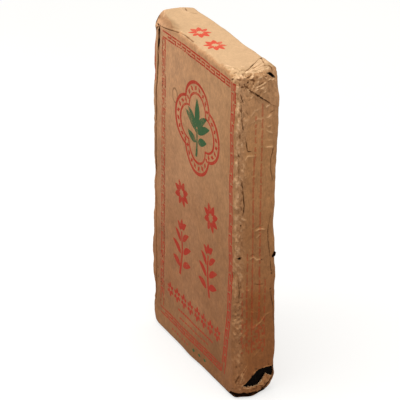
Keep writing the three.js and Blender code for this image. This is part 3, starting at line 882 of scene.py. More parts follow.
# Small holes worn right through: the side and the outline.
HOLES = [
    ("side", [(-21.4, 156.9), (-18.3, 158), (-15.8, 157.4), (-16.6, 155.9), (-17.3, 154.6), (-19.3, 155.7)]),
    ("side", [(5.9, 150.2), (6.4, 151), (7.3, 151), (7.6, 150.2), (7, 149.6), (6.2, 149.6)]),
    ("side", [(-17.8, 192.2), (-17, 193.2), (-16.2, 192.2), (-16.6, 191), (-17.4, 190.9)]),
    ("side", [(-11.4, 188.8), (-10.7, 188.4), (-11.2, 187.6)]),
    ("side", [(-15.8, 187.5), (-15, 187.3), (-15.3, 186.4)]),
    ("side", [(16.9, 133), (18, 133.6), (18.9, 132.4), (18, 131.4), (17, 131.8)]),
    ("side", [(15.9, 116), (16.8, 117), (17.6, 115.6), (17, 114), (16.1, 114.4)]),
    ("side", [(8, 348.7), (11.3, 348.8), (13.7, 347.5), (15.9, 345.2), (18.3, 342.3), (17.8, 341.4),
      (16.2, 341.7), (13.6, 343.2), (12.6, 344.7), (11, 345.7), (9.9, 347), (8, 347.8)]),
    ("front", [(-79.9, 70.6), (-78.9, 70.9), (-78.2, 68.8), (-78.9, 66.8), (-79.8, 67.2)]),
    ("front", [(-79.7, 59.6), (-78.8, 59.9), (-78.3, 58), (-78.9, 56.4), (-79.6, 56.8)]),
    ("top", [(61, 18.6), (61.2, 19.6), (62.2, 19.2), (62.2, 18.2)]),
    ("front", [(-79.4, 341), (-78.2, 341.4), (-77.6, 340), (-78.6, 339.2)]),
]
TEAR_UPPER = [
    (23.4, 28.2), (19.4, 28.4), (15.8, 28.9), (12.3, 29), (8.6, 29), (5.1, 28.9), (2.2, 27.9), (-0.8, 25.8),
    (-3.2, 24), (-4.6, 21.6), (-7, 20.2), (-9, 18.5), (-12, 16.3), (-16, 14.5),
]
TEAR_LOWER = [(-16, 14.5), (-10.3, 12.5), (-3.8, 11.7), (-0.2, 11.9), (2.9, 11.6)]
TEAR_TAB = [
    (6.8, 14.2), (9.3, 16.7), (11.7, 19.6), (12.8, 21.4), (13.6, 20.9), (15.9, 18.8), (18.3, 17.6),
    (20.2, 16.2), (21.4, 18.2), (23.4, 28.2),
]
TAB_MIDDLE = [(8.5, 12), (17, 15)]
# A scrap of paper that sticks out at the back edge, painted dark as if in shade, and how wide and how far out
# it is.
SCRAP = [(19.8, 151), (21, 152.4), (22.6, 154.6)]
SCRAP_WIDTH, SCRAP_OUT = 2.0, 2.0
GROOVE_DEPTH = 0.5


def tear_outline():
    return (ragged(TEAR_UPPER, 0.2, 131, 0.9)[:-1] + ragged(TEAR_LOWER, 0.25, 137, 0.9)[:-1]
            + ragged([TEAR_LOWER[-1]] + TEAR_TAB, 0.15, 139, 0.9)[:-1])


def make_paper():
    """The wrapper: a skin with laps, scrap and grooves, hollow, slit, worn through and torn."""
    paper = paper_skin()
    for lift, side, outline in laps():
        lap = boolean(paper_skin(0, lift), joined([block(side, outline, SURFACE)]), "INTERSECT")
        paper = boolean(paper, lap, "UNION")
    scrap = joined([spindle("side", SCRAP, SCRAP_WIDTH)])
    scrap = boolean(paper_skin(SCRAP_OUT), scrap, "INTERSECT")
    paper = boolean(paper, scrap, "UNION")
    grooves = joined([spindle(*groove) for groove in GROOVES])
    grooves = boolean(grooves, brick_skin(CAVITY_BOX, -GROOVE_DEPTH, crumple), "DIFFERENCE")
    paper = boolean(paper, grooves, "DIFFERENCE")
    paper = boolean(paper, brick_skin(CAVITY_BOX, -PAPER, crumple), "DIFFERENCE")
    for side, path, width, thickest in SLITS:
        slit = spindle(side, ragged(path, 0.12, 149, 1.8), width, thickest)
        paper = boolean(paper, joined([slit]), "DIFFERENCE")
    holes = joined([block(side, outline, THROUGH) for side, outline in HOLES])
    paper = boolean(paper, holes, "DIFFERENCE")
    return boolean(paper, joined([block("side", tear_outline(), THROUGH)]), "DIFFERENCE")


LEAF_DEPTH = 1.5           # of the hollows between the tea's leaves
LEAF_RISE = 0.2            # how far their crests reach into the gap


def leafy(p):
    """The tea's surface: pressed leaf with hollows between."""
    flakes = np.abs(noise(p * (0.5, 0.9, 0.55), 151)) + 0.5 * np.abs(noise(p * 1.1, 157))
    return crumple(p) - LEAF_DEPTH * np.clip(flakes, 0, 1)


def make_tea():
    return brick_skin(TEA_BOX, -PAPER - GAP + LEAF_RISE, leafy)


# ---- print ----

def united(figures):
    """Figures that overlap, as one closed block."""
    mesh = joined([figures[0]])
    for figure in figures[1:]:
        mesh = boolean(mesh, joined([figure]), "UNION")
    points = np.empty(len(mesh.vertices) * 3)
    mesh.vertices.foreach_get("co", points)
    mesh.calc_loop_triangles()
    triangles = np.empty(len(mesh.loop_triangles) * 3, np.int32)
    mesh.loop_triangles.foreach_get("vertices", triangles)
    bpy.data.meshes.remove(mesh)
    return points.reshape(-1, 3), triangles.reshape(-1, 3)


LINE = 1.75                # width of the border's lines
FRET_GAP = 2.8             # from the end of a fret's lines to the next fret
BORDER_DEPTH = 6.4         # from the outer line's middle to the inner line's
HOOK = 6.5                 # how far the two hooks of a fret reach into each other
# Where its outer line lies: places along it, and how far over or up there.
LEFT_BORDER = ([18, 65, 123, 208, 328], [-72.6, -71.6, -71.1, -70.9, -69.4])
RIGHT_BORDER = (
    [18, 36.5, 62, 110, 133, 165, 290, 315, 345], [74.7, 77, 82, 87.7, 88.9, 87.6, 87.3, 88.9, 89.3])
TOP_BORDER = ([-70, -50, -35, -8, 30], [338.2, 339.5, 340, 341, 341.4])
BOTTOM_BORDER = ([-76, 33, 76], [20.4, 20.2, 19.4])
# How wide the band is along it, as a share of its depth.
EVEN_BAND, RIGHT_WORN = ([0], [1]), ([135, 165, 295, 315], [1, 0.82, 0.82, 1])
# Each band: how many frets, where they start and end, its outer line and width, which way is in,
# and whether it stands upright.
BANDS = [
    (7, -68.6, 79.0, TOP_BORDER, EVEN_BAND, -1, False), (7, -72.2, 66.0, BOTTOM_BORDER, EVEN_BAND, 1, False),
    (14, 30.5, 330.0, LEFT_BORDER, EVEN_BAND, 1, True), (15, 20.6, 340.6, RIGHT_BORDER, RIGHT_WORN, -1, True),
]


def fret(length, depth):
    """One hook of a fret: out along the line at that depth and back along the band's middle."""
    middle = BORDER_DEPTH / 2
    return [(0, depth), (length, depth), (length, middle), (length - HOOK, middle)]


def band_warp(places, worn_band, inward, upright):
    """Turns (along the band, into it) into the front's x and z."""
    def warp(q):
        deep = q[:, 1] * np.interp(q[:, 0], *worn_band)
        across = np.interp(q[:, 0], *places) + inward * deep
        return np.stack([across, q[:, 0]] if upright else [q[:, 0], across], 1)

    return warp


def border():
    """Fret bands up both edges and across the top and bottom of the front."""
    made = []
    for count, start, end, places, worn_band, inward, upright in BANDS:
        warp = band_warp(places, worn_band, inward, upright)
        period = (end - start + FRET_GAP) / count
        lines = [(i * period, fret(period - FRET_GAP, 0)) for i in range(count)]
        lines += [((i + 0.5) * period, fret(period - FRET_GAP, BORDER_DEPTH)) for i in range(count - 1)]
        half_line = [(0, BORDER_DEPTH), (period / 2 - FRET_GAP, BORDER_DEPTH)]
        lines += [(0, half_line), ((count - 0.5) * period, half_line)]
        for along, path in lines:
            made.append(stroke("front", [(start + along + s, t) for s, t in path], LINE, warp))
    return made


MEDALLION = (9.5, 263.0)   # its middle, as x and z
LOBE_OUT, LOBE_RADIUS = 22.0, 28.0      # the middles of its four lobes from that, and their radius
RING_POINTS = 96
GARLAND = 32               # lozenges between its two rings


def lobed(turn, inset):
    """Radius of the four-lobed frame at an angle, drawn in by so many millimetres."""
    off = (turn + math.pi / 4) % (math.pi / 2) - math.pi / 4
    return LOBE_OUT * np.cos(off) + np.sqrt(LOBE_RADIUS**2 - (LOBE_OUT * np.sin(off))**2) - inset


def on_medallion(radius, turn):
    return MEDALLION[0] + radius * math.cos(turn), MEDALLION[1] + radius * math.sin(turn)


def ring(inset, width):
    """A lobed line of that width, its middle that far in from the frame's edge."""
    turns = np.linspace(0, 2 * math.pi, RING_POINTS, endpoint=False)
    inner, outer = [[on_medallion(r, turn) for r, turn in zip(lobed(turns, inset + shift), turns)]
                    for shift in (width / 2, -width / 2)]
    return ribbon("front", inner, outer, closed=True)


def heading(turn):
    """The way that turn degrees point, and the way across it."""
    a = math.radians(turn)
    return np.array([math.cos(a), math.sin(a)]), np.array([-math.sin(a), math.cos(a)])


def leaf(side, root, turn, length, width, bend=0.0):
    """A filled leaf from its root, pointing at turn degrees, bowed sideways by bend."""
    way, across = heading(turn)
    t = np.linspace(0.02, 0.98, 9)
    middle = np.array(root) + np.outer(t * length, way) + np.outer(bend * np.sin(np.pi * t), across)
    left, right = banded(middle, 0.5 * width * np.sin(np.pi * t ** 0.8) ** 0.8)
    return ribbon(side, left, right)


def lozenge(side, centre, turn, length, width):
    way, across = heading(turn)
    c = np.array(centre)
    corners = [c - way * length / 2, c - across * width / 2, c + way * length / 2, c + across * width / 2]
    return block(side, [tuple(q) for q in corners], SURFACE)


def medallion():
    """Two lobed rings with a garland of slanting lozenges between them."""
    made = [ring(1.9, 3.6), ring(13.2, 2.8)]
    for i in range(GARLAND):
        turn = 2 * math.pi * (i + 0.5) / GARLAND
        at = on_medallion(lobed(turn, 7.8), turn)
        made.append(lozenge("front", at, math.degrees(turn) + (35 if i % 2 else -35), 7.0, 4.4))
    return made


def sprig():
    """Two leaves and a bud on a stalk, each leaf in two halves along its rib."""
    x, z = MEDALLION
    made = [leaf("front", (x - 0.6, z + 1), 92, 31, 10.5, -1)]
    for side_turn, bend in ((38, 2.5), (142, -2.5)):
        for half in (-1, 1):
            root = (x + (2 if side_turn < 90 else -2), z - 4 + half)
            made.append(leaf("front", root, side_turn + half * 9, 29, 8.2, bend + half))
    for side_turn in (20, 160):
        made.append(leaf("front", (x + (2 if side_turn < 90 else -2), z - 15), side_turn, 20, 8.5, 1))
    stalk = smooth_path([(x - 2, z - 31), (x - 0.6, z - 18), (x, z - 6), (x - 0.2, z - 0.5)], 10)
    made.append(ribbon("front", *banded(stalk, np.linspace(1.9, 1.1, 11))))
    return [united(made)]


def rosette(side, centre, size, petals, thick):
    """Pointed petals round an open middle; size is (width, height), thick a petal's share of its length."""
    made = []
    for i in range(petals):
        turn = 2 * math.pi * (i + 0.5) / petals
        way = np.array([math.cos(turn) * size[0], math.sin(turn) * size[1]]) / 2
        length = float(np.linalg.norm(way))
        root = np.array(centre) + 0.24 * way
        pointing = math.degrees(math.atan2(way[1], way[0]))
        made.append(leaf(side, root, pointing, 0.78 * length, thick * length))
    return [united(made)]


# The pairs of leaves on a shoot, upwards: how high, how long and how steep.
LEAF_PAIRS = [(0.2, 0.5, 20), (0.42, 0.56, 32), (0.64, 0.46, 42), (0.84, 0.3, 52)]


def shoot(centre, width, height, lean):
    """A tall tea shoot: a stem with paired leaves that get smaller upwards."""
    x, z = centre
    foot = z - height / 2
    stem = smooth_path([(x + lean, foot), (x, z - height * 0.1), (x, z + height * 0.28)], 10)
    made = [ribbon("front", *banded(stem, np.linspace(2.1, 1.2, 11)))]
    made.append(leaf("front", (x, z + height * 0.31), 90, height * 0.19, 6.2))
    for i, (share, reach, turn) in enumerate(LEAF_PAIRS):
        level = foot + share * height - 4
        for sign in (1, -1):
            root = (x + sign * 3.1, level + (2.5 if sign > 0 else 0))
            pointing = turn if sign > 0 else 180 - turn
            made.append(leaf("front", root, pointing, reach * width, 7.6 - i * 0.6, 1.6 * sign))
    return [united(made)]


# Rows of figures across the front: first and last x, how many, and the level.
BLOSSOM_ROW = (-49.5, 58.5, 8, 57.0)
UPPER_DASHES, LOWER_DASHES = (-30, 46, 16, 42.5), (-26, 34, 11, 34.5)
LOZENGE_ROW = (-44, -8, 7, 12.6)


def spots(row):
    """The middles of a row's figures."""
    first, last, count, level = row
    return [(x, level) for x in np.linspace(first, last, count)]


def marks():
    """The smaller figures of the front: flowers, shoots, a row of flowers and rows of dashes."""
    made = rosette("front", (-25, 177.5), (31, 29), 8, 0.44)
    made += rosette("front", (41.5, 179), (31, 31), 8, 0.44)
    made += shoot((-23.5, 117.5), 37, 64, -3) + shoot((36, 118.5), 37, 60, 3)
    for at in spots(BLOSSOM_ROW):
        made += rosette("front", at, (14.5, 17), 6, 0.5)
    for row, length, width in ((UPPER_DASHES, 2.2, 2.0), (LOWER_DASHES, 2.8, 1.6)):
        made += [stroke("front", [(x, z), (x + length, z)], width) for x, z in spots(row)]
    made += [lozenge("front", at, 0, 3.4, 3.0) for at in spots(LOZENGE_ROW)]
    return made


def green_dots():
    return [leaf("front", (x, 12.5), 0, 5.0, 3.2) for x in (4, 16, 28)]


def top_marks():
    return rosette("top", (-22, -5.5), (27, 22), 8, 0.42) + rosette("top", (14, -7), (27, 22), 8, 0.42)


# Columns of dashes down the side: y, from and to which height, width, lengths and gap.
DASH_COLUMNS = [
    (-3.6, 262, 62, 2.0, (6, 22), 1.2), (4.4, 318, 60, 2.2, (5, 16), 1.8), (-9.4, 160, 60, 1.8, (5, 14), 2.0),
    (-14.4, 118, 60, 1.9, (4, 10), 2.2), (-2.6, 306, 266, 2.2, (3, 8), 2.6),
    (10.6, 128, 62, 1.7, (4, 9), 3.0),
]
# What shows of a rubbed column at the front's left edge: x, the upper end and the length.
LEFT_DASHES = [(-87, 319, 8), (-85.9, 308.5, 9), (-85.4, 296, 7), (-85.2, 285, 5)]


def side_marks():
    """Rubbed columns of ragged dashes down the side, with broader ones low down."""
    draw = np.random.default_rng(163)
    made = []
    for y, high, low, width, lengths, gap in DASH_COLUMNS:
        z = high
        while z > low:
            length = draw.uniform(*lengths)
            line = np.array([(y + draw.uniform(-0.3, 0.3), z - length * t) for t in np.linspace(0, 1, 7)])
            half = 0.5 * width * draw.uniform(0.55, 1.15, 7)
            made.append(ribbon("side", *banded(line, half)))
            z -= length + gap * draw.uniform(0.5, 1.6)
    for z in np.arange(52, 84, 5.2):
        for y in (-12.4, -7.5, -1.5, 3, 8.2):
            place = (y + draw.uniform(-1, 1), z + draw.uniform(-1.5, 1.5))
            made.append(leaf("side", place, draw.uniform(0, 360), draw.uniform(3, 5.5), draw.uniform(2, 3)))
    return [united(made)]


def left_marks():
    return [stroke("front", [(x, z), (x + 0.4, z - length)], 2.8) for x, z, length in LEFT_DASHES]


def make_print(side, figures, lift=None):
    """The ink: figures cut out of a thin slab that follows the paper."""
    slab = skin_slab(side, -INK_ROOT, INK, lift)
    return boolean(slab, joined(figures), "INTERSECT")


# ---- tone: painted highlights on crests and painted shade in creases, gaps and at the foot, stored at the vertices ----

FACE_DEPTH = 6             # points no deeper than this belong to a side's face
DARKEST, PALEST = -0.85, 0.9            # as far as relief alone makes the tone
TORN_RIM = 1.5             # width of the pale rim of the tear
HIGHLIGHT_STRIPE = -21.5        # y of the painted highlight along the right front edge
TAB_FAR, TAB_NEAR = 5, 3   # the tear's tab fades out between these from its middle
SCRAP_FAR, SCRAP_NEAR = 1.9, 1.2
# Where the painted shade along the foot of the side ends: places along y, and how high up there.
FOOT_EDGE = ([-3, 6, 16], [7, 5, 4.6])


def lines_near(p, reach):
    """How close each point is to a slit or groove: 1 on its edge, 0 from reach further out."""
    x, y, z = p.T
    facing = {
        "side": (x > RIGHT - FACE_DEPTH, p[:, 1:]),
        "front": (y < FACE_DEPTH - BACK, p[:, ::2]),
        "top": (z > HEIGHT - FACE_DEPTH, p[:, :2]),
    }
    near = np.zeros(len(p))
    for side, path, width, _ in SLITS + GROOVES:
        there, uv = facing[side]
        uv, path = uv[there], np.array(path, float)
        close = ((uv > path.min(axis=0) - 3) & (uv < path.max(axis=0) + 3)).all(axis=1)
        far = path_distance(uv[close], path)[0]
        at = np.flatnonzero(there)[close]
        near[at] = np.maximum(near[at], ramp(far, width / 2 + reach, width / 2))
    return near


def nominal(p):
    """The plain rounded brick's points that points of the crumpled paper come from."""
    near = [LYING_TREE.find(q)[1] for q in p]
    return rounded(SKIN[near] + p - LYING[near] - UP)[0]


def add_tone(mesh):
    """Stores how pale (above zero) or dark each vertex is, as painted highlights and shade with the pale torn
    rim, and how crinkled the paper is there.
    """
    co = np.empty(len(mesh.vertices) * 3, np.float32)
    mesh.vertices.foreach_get("co", co)
    p = co.reshape(-1, 3).astype(float)
    x, y, z = p.T
    plain = nominal(p)
    # Painted light from the relief: pale on crests, dark in hollows.
    tone = np.clip(1.2 * detail(plain) + 0.8 * creased(plain, CORNER_CREASES), DARKEST, PALEST)
    side = ramp(x, RIGHT - 8, RIGHT - 3)

    def far_from(path):
        return path_distance(p[:, 1:], path)[0]

    rim = np.minimum(far_from(TEAR_UPPER), far_from(TEAR_LOWER + TEAR_TAB))
    tone += 0.55 * side * np.clip(1 - rim / TORN_RIM, 0, 1)
    tone += 1.4 * side * ramp(far_from(TAB_MIDDLE), TAB_FAR, TAB_NEAR) * ramp(tone, -0.4, 0)
    # A painted highlight along the right front edge.
    tone += 0.35 * side * bell((y, HIGHLIGHT_STRIPE, 1.6)) * ramp(z, 60, 110)
    # Painted shade along the slits and grooves, and in the shade lines.
    tone -= 0.6 * lines_near(p, 0.3) + creased(plain, SHADE_LINES)
    # Painted shade on the scrap.
    tone -= 2.2 * side * ramp(far_from(SCRAP), SCRAP_FAR, SCRAP_NEAR)
    # Painted shade along the foot, where the paper curls under; paler again below it on the side.
    foot = 2.6 + 1.4 * ramp(plain[:, 0], 10, 80) + side * (np.interp(plain[:, 1], *FOOT_EDGE) - 4)
    low = plain[:, 2] + 0.5 * noise(plain / 3, 83)
    tone -= (1.2 + 0.8 * side) * ramp(low, foot + 0.6, foot - 0.6)
    tone += 0.9 * side * ramp(low, foot - 1.8, foot - 3.4)
    for name, value in (("tone", tone), ("worn", worn(plain))):
        mesh.attributes.new(name, "FLOAT", "POINT").data.foreach_set("value", value.astype(np.float32))


def add_piece(name, mesh, material, sharp=50, paper=True):
    """Centres the mesh, turns it to metres and adds it as a piece that rides on the body."""
    if paper:
        add_tone(mesh)
    mesh.transform(Matrix.Scale(MM, 4) @ Matrix.Translation(TO_CENTRE))
    mesh.name = name
    mesh.materials.clear()
    mesh.materials.append(material)
    mesh.shade_smooth()
    mesh.set_sharp_from_angle(angle=math.radians(sharp))
    piece = bpy.data.objects.new(name, mesh)
    bpy.context.scene.collection.objects.link(piece)
    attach(piece, "root")
    return piece


# ---- materials ----

class Shader:
    """A small helper for one material's nodes."""

    def __init__(self, name):
        self.material = bpy.data.materials.new(name)
        self.material.use_nodes = True
        self.tree = self.material.node_tree
        self.surface = self.tree.nodes["Principled BSDF"].inputs
        self.place = self.node("ShaderNodeTexCoord").outputs["Object"]

    def node(self, kind, inputs=(), **settings):
        made = self.tree.nodes.new(kind)
        for key, value in settings.items():
            setattr(made, key, value)
        for key, value in dict(inputs).items():
            self.put(value, made.inputs[key])
        return made

    def put(self, value, socket):
        if isinstance(value, bpy.types.NodeSocket):
            self.tree.links.new(value, socket)
        else:
            socket.default_value = value

    def noise(self, scale, detail=2.0, roughness=0.5, stretch=None, distortion=0.0):
        place = self.place
        if stretch:
            place = self.node("ShaderNodeMapping", {"Vector": place, "Scale": stretch}).outputs[0]
        return self.node("ShaderNodeTexNoise", {
            "Vector": place, "Scale": scale, "Detail": detail, "Roughness": roughness,
            "Distortion": distortion}).outputs["Fac"]

    def parts(self, vector):
        return self.node("ShaderNodeSeparateXYZ", {0: vector}).outputs

    def grey(self, value):
        return self.node("ShaderNodeCombineColor", {0: value, 1: value, 2: value}).outputs[0]

    def stored(self, name):
        """What add_tone stored at the vertices under that name."""
        return self.node("ShaderNodeAttribute", attribute_name=name).outputs["Fac"]

    def math(self, operation, a, b=0.0):
        return self.node("ShaderNodeMath", {0: a, 1: b}, operation=operation).outputs[0]

    def times(self, first, *others):
        for other in others:
            first = self.math("MULTIPLY", first, other)
        return first

    def span(self, value, low, high, to_low=0.0, to_high=1.0):
        return self.node("ShaderNodeMapRange", {
            "Value": value, "From Min": low, "From Max": high, "To Min": to_low, "To Max": to_high},
            interpolation_type="SMOOTHSTEP").outputs[0]

    def mix(self, share, a, b, how="MIX"):
        made = self.node("ShaderNodeMix", data_type="RGBA", blend_type=how)
        for key, value in (("Factor_Float", share), ("A_Color", a), ("B_Color", b)):
            self.put(value, next(s for s in made.inputs if s.identifier == key))
        return next(s for s in made.outputs if s.identifier == "Result_Color")

    def wrinkle(self, scale, sharpness):
        """Thin wandering lines where a noise crosses its middle."""
        off = self.math("SUBTRACT", self.noise(scale, 1.5, 0.5, distortion=0.4), 0.5)
        return self.span(self.times(self.math("ABSOLUTE", off), sharpness), 0.35, 0.0)

    def finish(self, colour, roughness, gloss, height=None, strength=0.0, distance=0.0):
        """Sets the surface's look, with bumps of that height where there is one; gives the material."""
        self.put(colour, self.surface["Base Color"])
        self.put(roughness, self.surface["Roughness"])
        self.put(gloss, self.surface["Specular IOR Level"])
        if height is not None:
            bump = self.node("ShaderNodeBump", {"Height": height, "Strength": strength, "Distance": distance})
            self.put(bump.outputs[0], self.surface["Normal"])
        return self.material


def rgb(r, g, b):
    return (r, g, b, 1.0)


KRAFT = rgb(0.594, 0.332, 0.177)
KRAFT_DULL = rgb(0.543, 0.292, 0.148)
KRAFT_LIT_TOP = rgb(0.55, 0.352, 0.194)    # the top: painted light, the kraft as lit on faces that turn up, paler and greyer
# Painted highlight on crests, wrinkles and the right front edge, and the real pale of the torn rim.
PALE_HIGHLIGHT_AND_WEAR = rgb(0.92, 0.61, 0.38)
# Painted shade in creases, hollows, slits, grooves and gaps.
CREASE_SHADE = rgb(0.15, 0.058, 0.016)
WORN_TINT = rgb(1.0, 1.0, 0.97)
# Near black: the deepest painted shade, along the foot, on the scrap and in the darkest lines.
DEEPEST_SHADE = rgb(0.010, 0.004, 0.002)
STAIN = rgb(0.23, 0.115, 0.05)
RED = rgb(0.44, 0.024, 0.012)
RED_TOP = rgb(0.58, 0.045, 0.025)
GREEN = rgb(0.018, 0.105, 0.04)
TEA, TEA_STALK, TEA_DUST = rgb(0.002, 0.0012, 0.0008), rgb(0.009, 0.005, 0.003), rgb(0.035, 0.017, 0.008)
STAIN_AT, STAIN_SIZE = (-40.5 + TO_CENTRE[0], 279.0), (5.6, 7.6)

# The paper's tints, each with the limits of its place. A limit names a measure, where the tint is
# nothing and where it is full, and after them other shares than 0 and 1. x, y and z are in
# millimetres from the middle of the foot; the others are nodes that kraft makes.
ON_SIDE, OFF_SIDE = ("rightward", 0.5, 0.9), ("side", 1, 0)
TINTS = [
    (rgb(0.84, 0.82, 0.74), ("x", -75, 85), OFF_SIDE),
    # Painted shade: the side darker than the front, more so low down and away from the front edge.
    (rgb(0.926, 0.861, 0.70), ON_SIDE, ("y", -19, -10, 0.25, 1), ("z", 325, 265, 0.5, 1)),
    # Painted shade on the front's upper right.
    (rgb(0.89, 0.86, 0.82), ("x", 45, 75), ("z", 225, 260), ("z", 335, 295), OFF_SIDE),
    (rgb(0.86, 0.77, 0.66), ON_SIDE, ("z", 132, 98), ("z", 8, 36), ("y", -16, -7)),
    # Darker towards the bottom, in blotches: painted shade.
    (rgb(0.60, 0.47, 0.37), ("z", 345, 40), ("blotch", 0.2, 0.65, 0.8, 1)),
    (rgb(0.86, 0.87, 0.79), ("z", 70, 18), ("x", 75, 55), OFF_SIDE),
    (rgb(0.95, 0.86, 0.72), ON_SIDE, ("z", 122, 110), ("z", 76, 90), ("y", -12, -5), ("y", 12, 5)),
]
TOP_TINTS = [
    (rgb(0.76, 0.73, 0.67), ("x", 68, 80), ("upward", 0.5, 0.9), ("y", -16, 4)),
    # Painted shade on the shoulder between the front and the top, at the left.
    (rgb(0.66, 0.62, 0.56), ("x", -26, -62), ("y", -13, -20), ("z", 342, 347.5)),
]


def tinted(s, colour, measures, tints):
    for tint, *limits in tints:
        shares = []
        for measure, none, full, *to in limits:
            unit = MM if measure in "xyz" else 1
            shares.append(s.span(measures[measure], none * unit, full * unit, *to))
        colour = s.mix(s.times(*shares), colour, tint, "MULTIPLY")
    return colour


def ringed(s, x, y, z):
    """Share of a round stain's rim on the front."""
    across = s.math("DIVIDE", s.math("SUBTRACT", x, STAIN_AT[0] * MM), STAIN_SIZE[0] * MM)
    up = s.math("DIVIDE", s.math("SUBTRACT", z, STAIN_AT[1] * MM), STAIN_SIZE[1] * MM)
    far = s.math("SQRT", s.math("ADD", s.times(across, across), s.times(up, up)))
    return s.times(s.span(far, 0.74, 0.98), s.span(far, 1.26, 1.0), s.span(y, -0.018, -0.020, 0.0, 0.85))


def kraft(s):
    """Nodes for the paper's colour, with its painted highlights and shade, which the print shares where it is
    rubbed away.
    """
    x, y, z = s.parts(s.place)
    rightward, _, upward = s.parts(s.node("ShaderNodeNewGeometry").outputs["Normal"])
    tone, rough = s.stored("tone"), s.stored("worn")
    measures = {
        "x": x, "y": y, "z": z, "rightward": rightward, "upward": upward,
        "side": s.span(rightward, *ON_SIDE[1:]), "blotch": s.noise(20, 3),
    }
    # Share of painted highlight on crests and fine wrinkles, with the pale torn rim and tab.
    rubbed = s.math("MAXIMUM", s.span(tone, 0.1, 0.85, 0.0, 0.8), s.times(rough, s.wrinkle(150, 9.0), 0.15))
    colour = s.mix(s.span(s.noise(14, 3), 0.35, 0.68), KRAFT, KRAFT_DULL)
    colour = tinted(s, s.mix(rubbed, colour, PALE_HIGHLIGHT_AND_WEAR), measures, TINTS)
    # Faces that turn up take the lit copy of the kraft: painted light.
    colour = s.mix(s.span(upward, 0.55, 0.96), colour, s.mix(rubbed, KRAFT_LIT_TOP, PALE_HIGHLIGHT_AND_WEAR))
    colour = s.mix(rough, colour, WORN_TINT, "MULTIPLY")
    colour = tinted(s, colour, measures, TOP_TINTS)
    mottle = s.span(s.noise(150, 4, 0.62), 0.28, 0.72, 0.91, 1.09)
    fibre = s.span(s.noise(560, 2, 0.6, stretch=(1.0, 1.0, 0.4)), 0.27, 0.73, 0.88, 1.12)
    blotch = s.span(s.noise(48, 3, 0.55), 0.3, 0.7, 0.94, 1.06)
    shade = s.grey(s.times(mottle, fibre, blotch))
    colour = s.mix(s.span(upward, 0.6, 0.95, 1.0, 0.45), colour, shade, "MULTIPLY")
    colour = s.mix(s.span(s.noise(950, 1.0), 0.70, 0.76, 0.0, 0.5), colour, STAIN)
    # Painted shade in the hollows of the fine wrinkles, which the bump also dents.
    colour = s.mix(s.times(rough, s.wrinkle(215, 12.0), 0.3), colour, CREASE_SHADE)
    # Painted shade where the tone is low: in creases and hollows, along slits, grooves and gaps, on the scrap
    # and along the foot.
    colour = s.mix(s.span(tone, -0.08, DARKEST, 0.0, 0.85), colour, CREASE_SHADE)
    # Near black at the darkest: painted shade.
    colour = s.mix(s.span(tone, DARKEST, -1.3), colour, DEEPEST_SHADE)
    return s.mix(ringed(s, x, y, z), colour, STAIN)


def finish_paper(s, colour, roughness=0.85, gloss=0.2):
    """Fibre and small folds; nothing shines in the darkest lines."""
    fibre = s.times(s.noise(520, 4, 0.65, stretch=(1, 1, 0.5)), 0.5)
    height = s.math("ADD", fibre, s.times(s.noise(110, 3), 0.5))
    folds = s.math("SUBTRACT", s.wrinkle(150, 9.0), s.wrinkle(215, 12.0))
    height = s.math("ADD", height, s.times(s.stored("worn"), s.times(folds, 0.9)))
    return s.finish(colour, roughness, s.span(s.stored("tone"), -0.5, -1.3, gloss, 0.0), height, 0.4, 0.0006)


def kraft_material():
    s = Shader("kraft_paper")
    return finish_paper(s, kraft(s))


def ink_material(name, colour, cover, worn_left=False, scale=45):
    """Print over the paper: cover is the share of it that is left, with rubbed and missing spots."""
    s = Shader(name)
    grain = s.math("ADD", s.times(s.noise(620, 3, 0.6), 0.5), s.times(s.noise(scale, 3, 0.55), 0.5))
    left = s.span(grain, 0.30, 0.52, cover * 0.45, cover)
    if worn_left:
        x, _, z = s.parts(s.place)
        left = s.times(left, s.span(x, -0.060, -0.072, 1.0, 0.78), s.span(z, 0.06, 0.02, 1.0, 0.85))
    return finish_paper(s, s.mix(left, kraft(s), colour), 0.8, 0.12)


def tea_material():
    s = Shader("pressed_tea")
    colour = s.mix(s.span(s.noise(420, 4, 0.65), 0.42, 0.72), TEA, TEA_STALK)
    colour = s.mix(s.span(s.noise(900, 2), 0.70, 0.76, 0.0, 0.7), colour, TEA_DUST)
    return s.finish(colour, 0.75, 0.05, s.noise(650, 4, 0.7, stretch=(1, 1, 0.5)), 0.9, 0.0015)


def floor_material():
    """Pale and lit mostly from within, as a floor of lit white card, so that shadows stay faint."""
    s = Shader("pale_floor")
    s.put(FLOOR_TINT, s.surface["Emission Color"])
    s.put(FLOOR_GLOW, s.surface["Emission Strength"])
    return s.finish(s.grey(s.span(s.noise(3, 2), 0.2, 0.8, 0.40, 0.42)), 0.9, 0.0)


# ---- camera, floor and light ----

AZIMUTH, ELEVATION, ROLL = 63.382, 25.760, 0.4602      # degrees
DISTANCE, SHIFT_RIGHT, SHIFT_UP = 2613.545, -13.406, 0.9035
LENS, SENSOR = 234.0, 36.0
FLOOR_GLOW, FLOOR_TINT = 0.62, rgb(1.0, 1.0, 0.985)
FLOOR_REACH = 6            # metres
# The sky's colours and how high up they are, from 0 below to 1 above.
SKY = [(0.35, rgb(0.40, 0.33, 0.27)), (0.55, rgb(0.74, 0.71, 0.68)), (0.9, rgb(0.80, 0.79, 0.77))]
# The lamps: place, what they shine at and size, in metres, then power and colour.
LAMPS = {
    "overhead": ((0.1, -0.15, 1.15), (0, 0, 0.2), 0.7, 4.6, (1.0, 1.0, 0.98)),
    "front_fill": ((-0.35, -1.0, 1.0), (0, 0, 0.3), 0.8, 3.6, (1.0, 0.96, 0.9)),
}


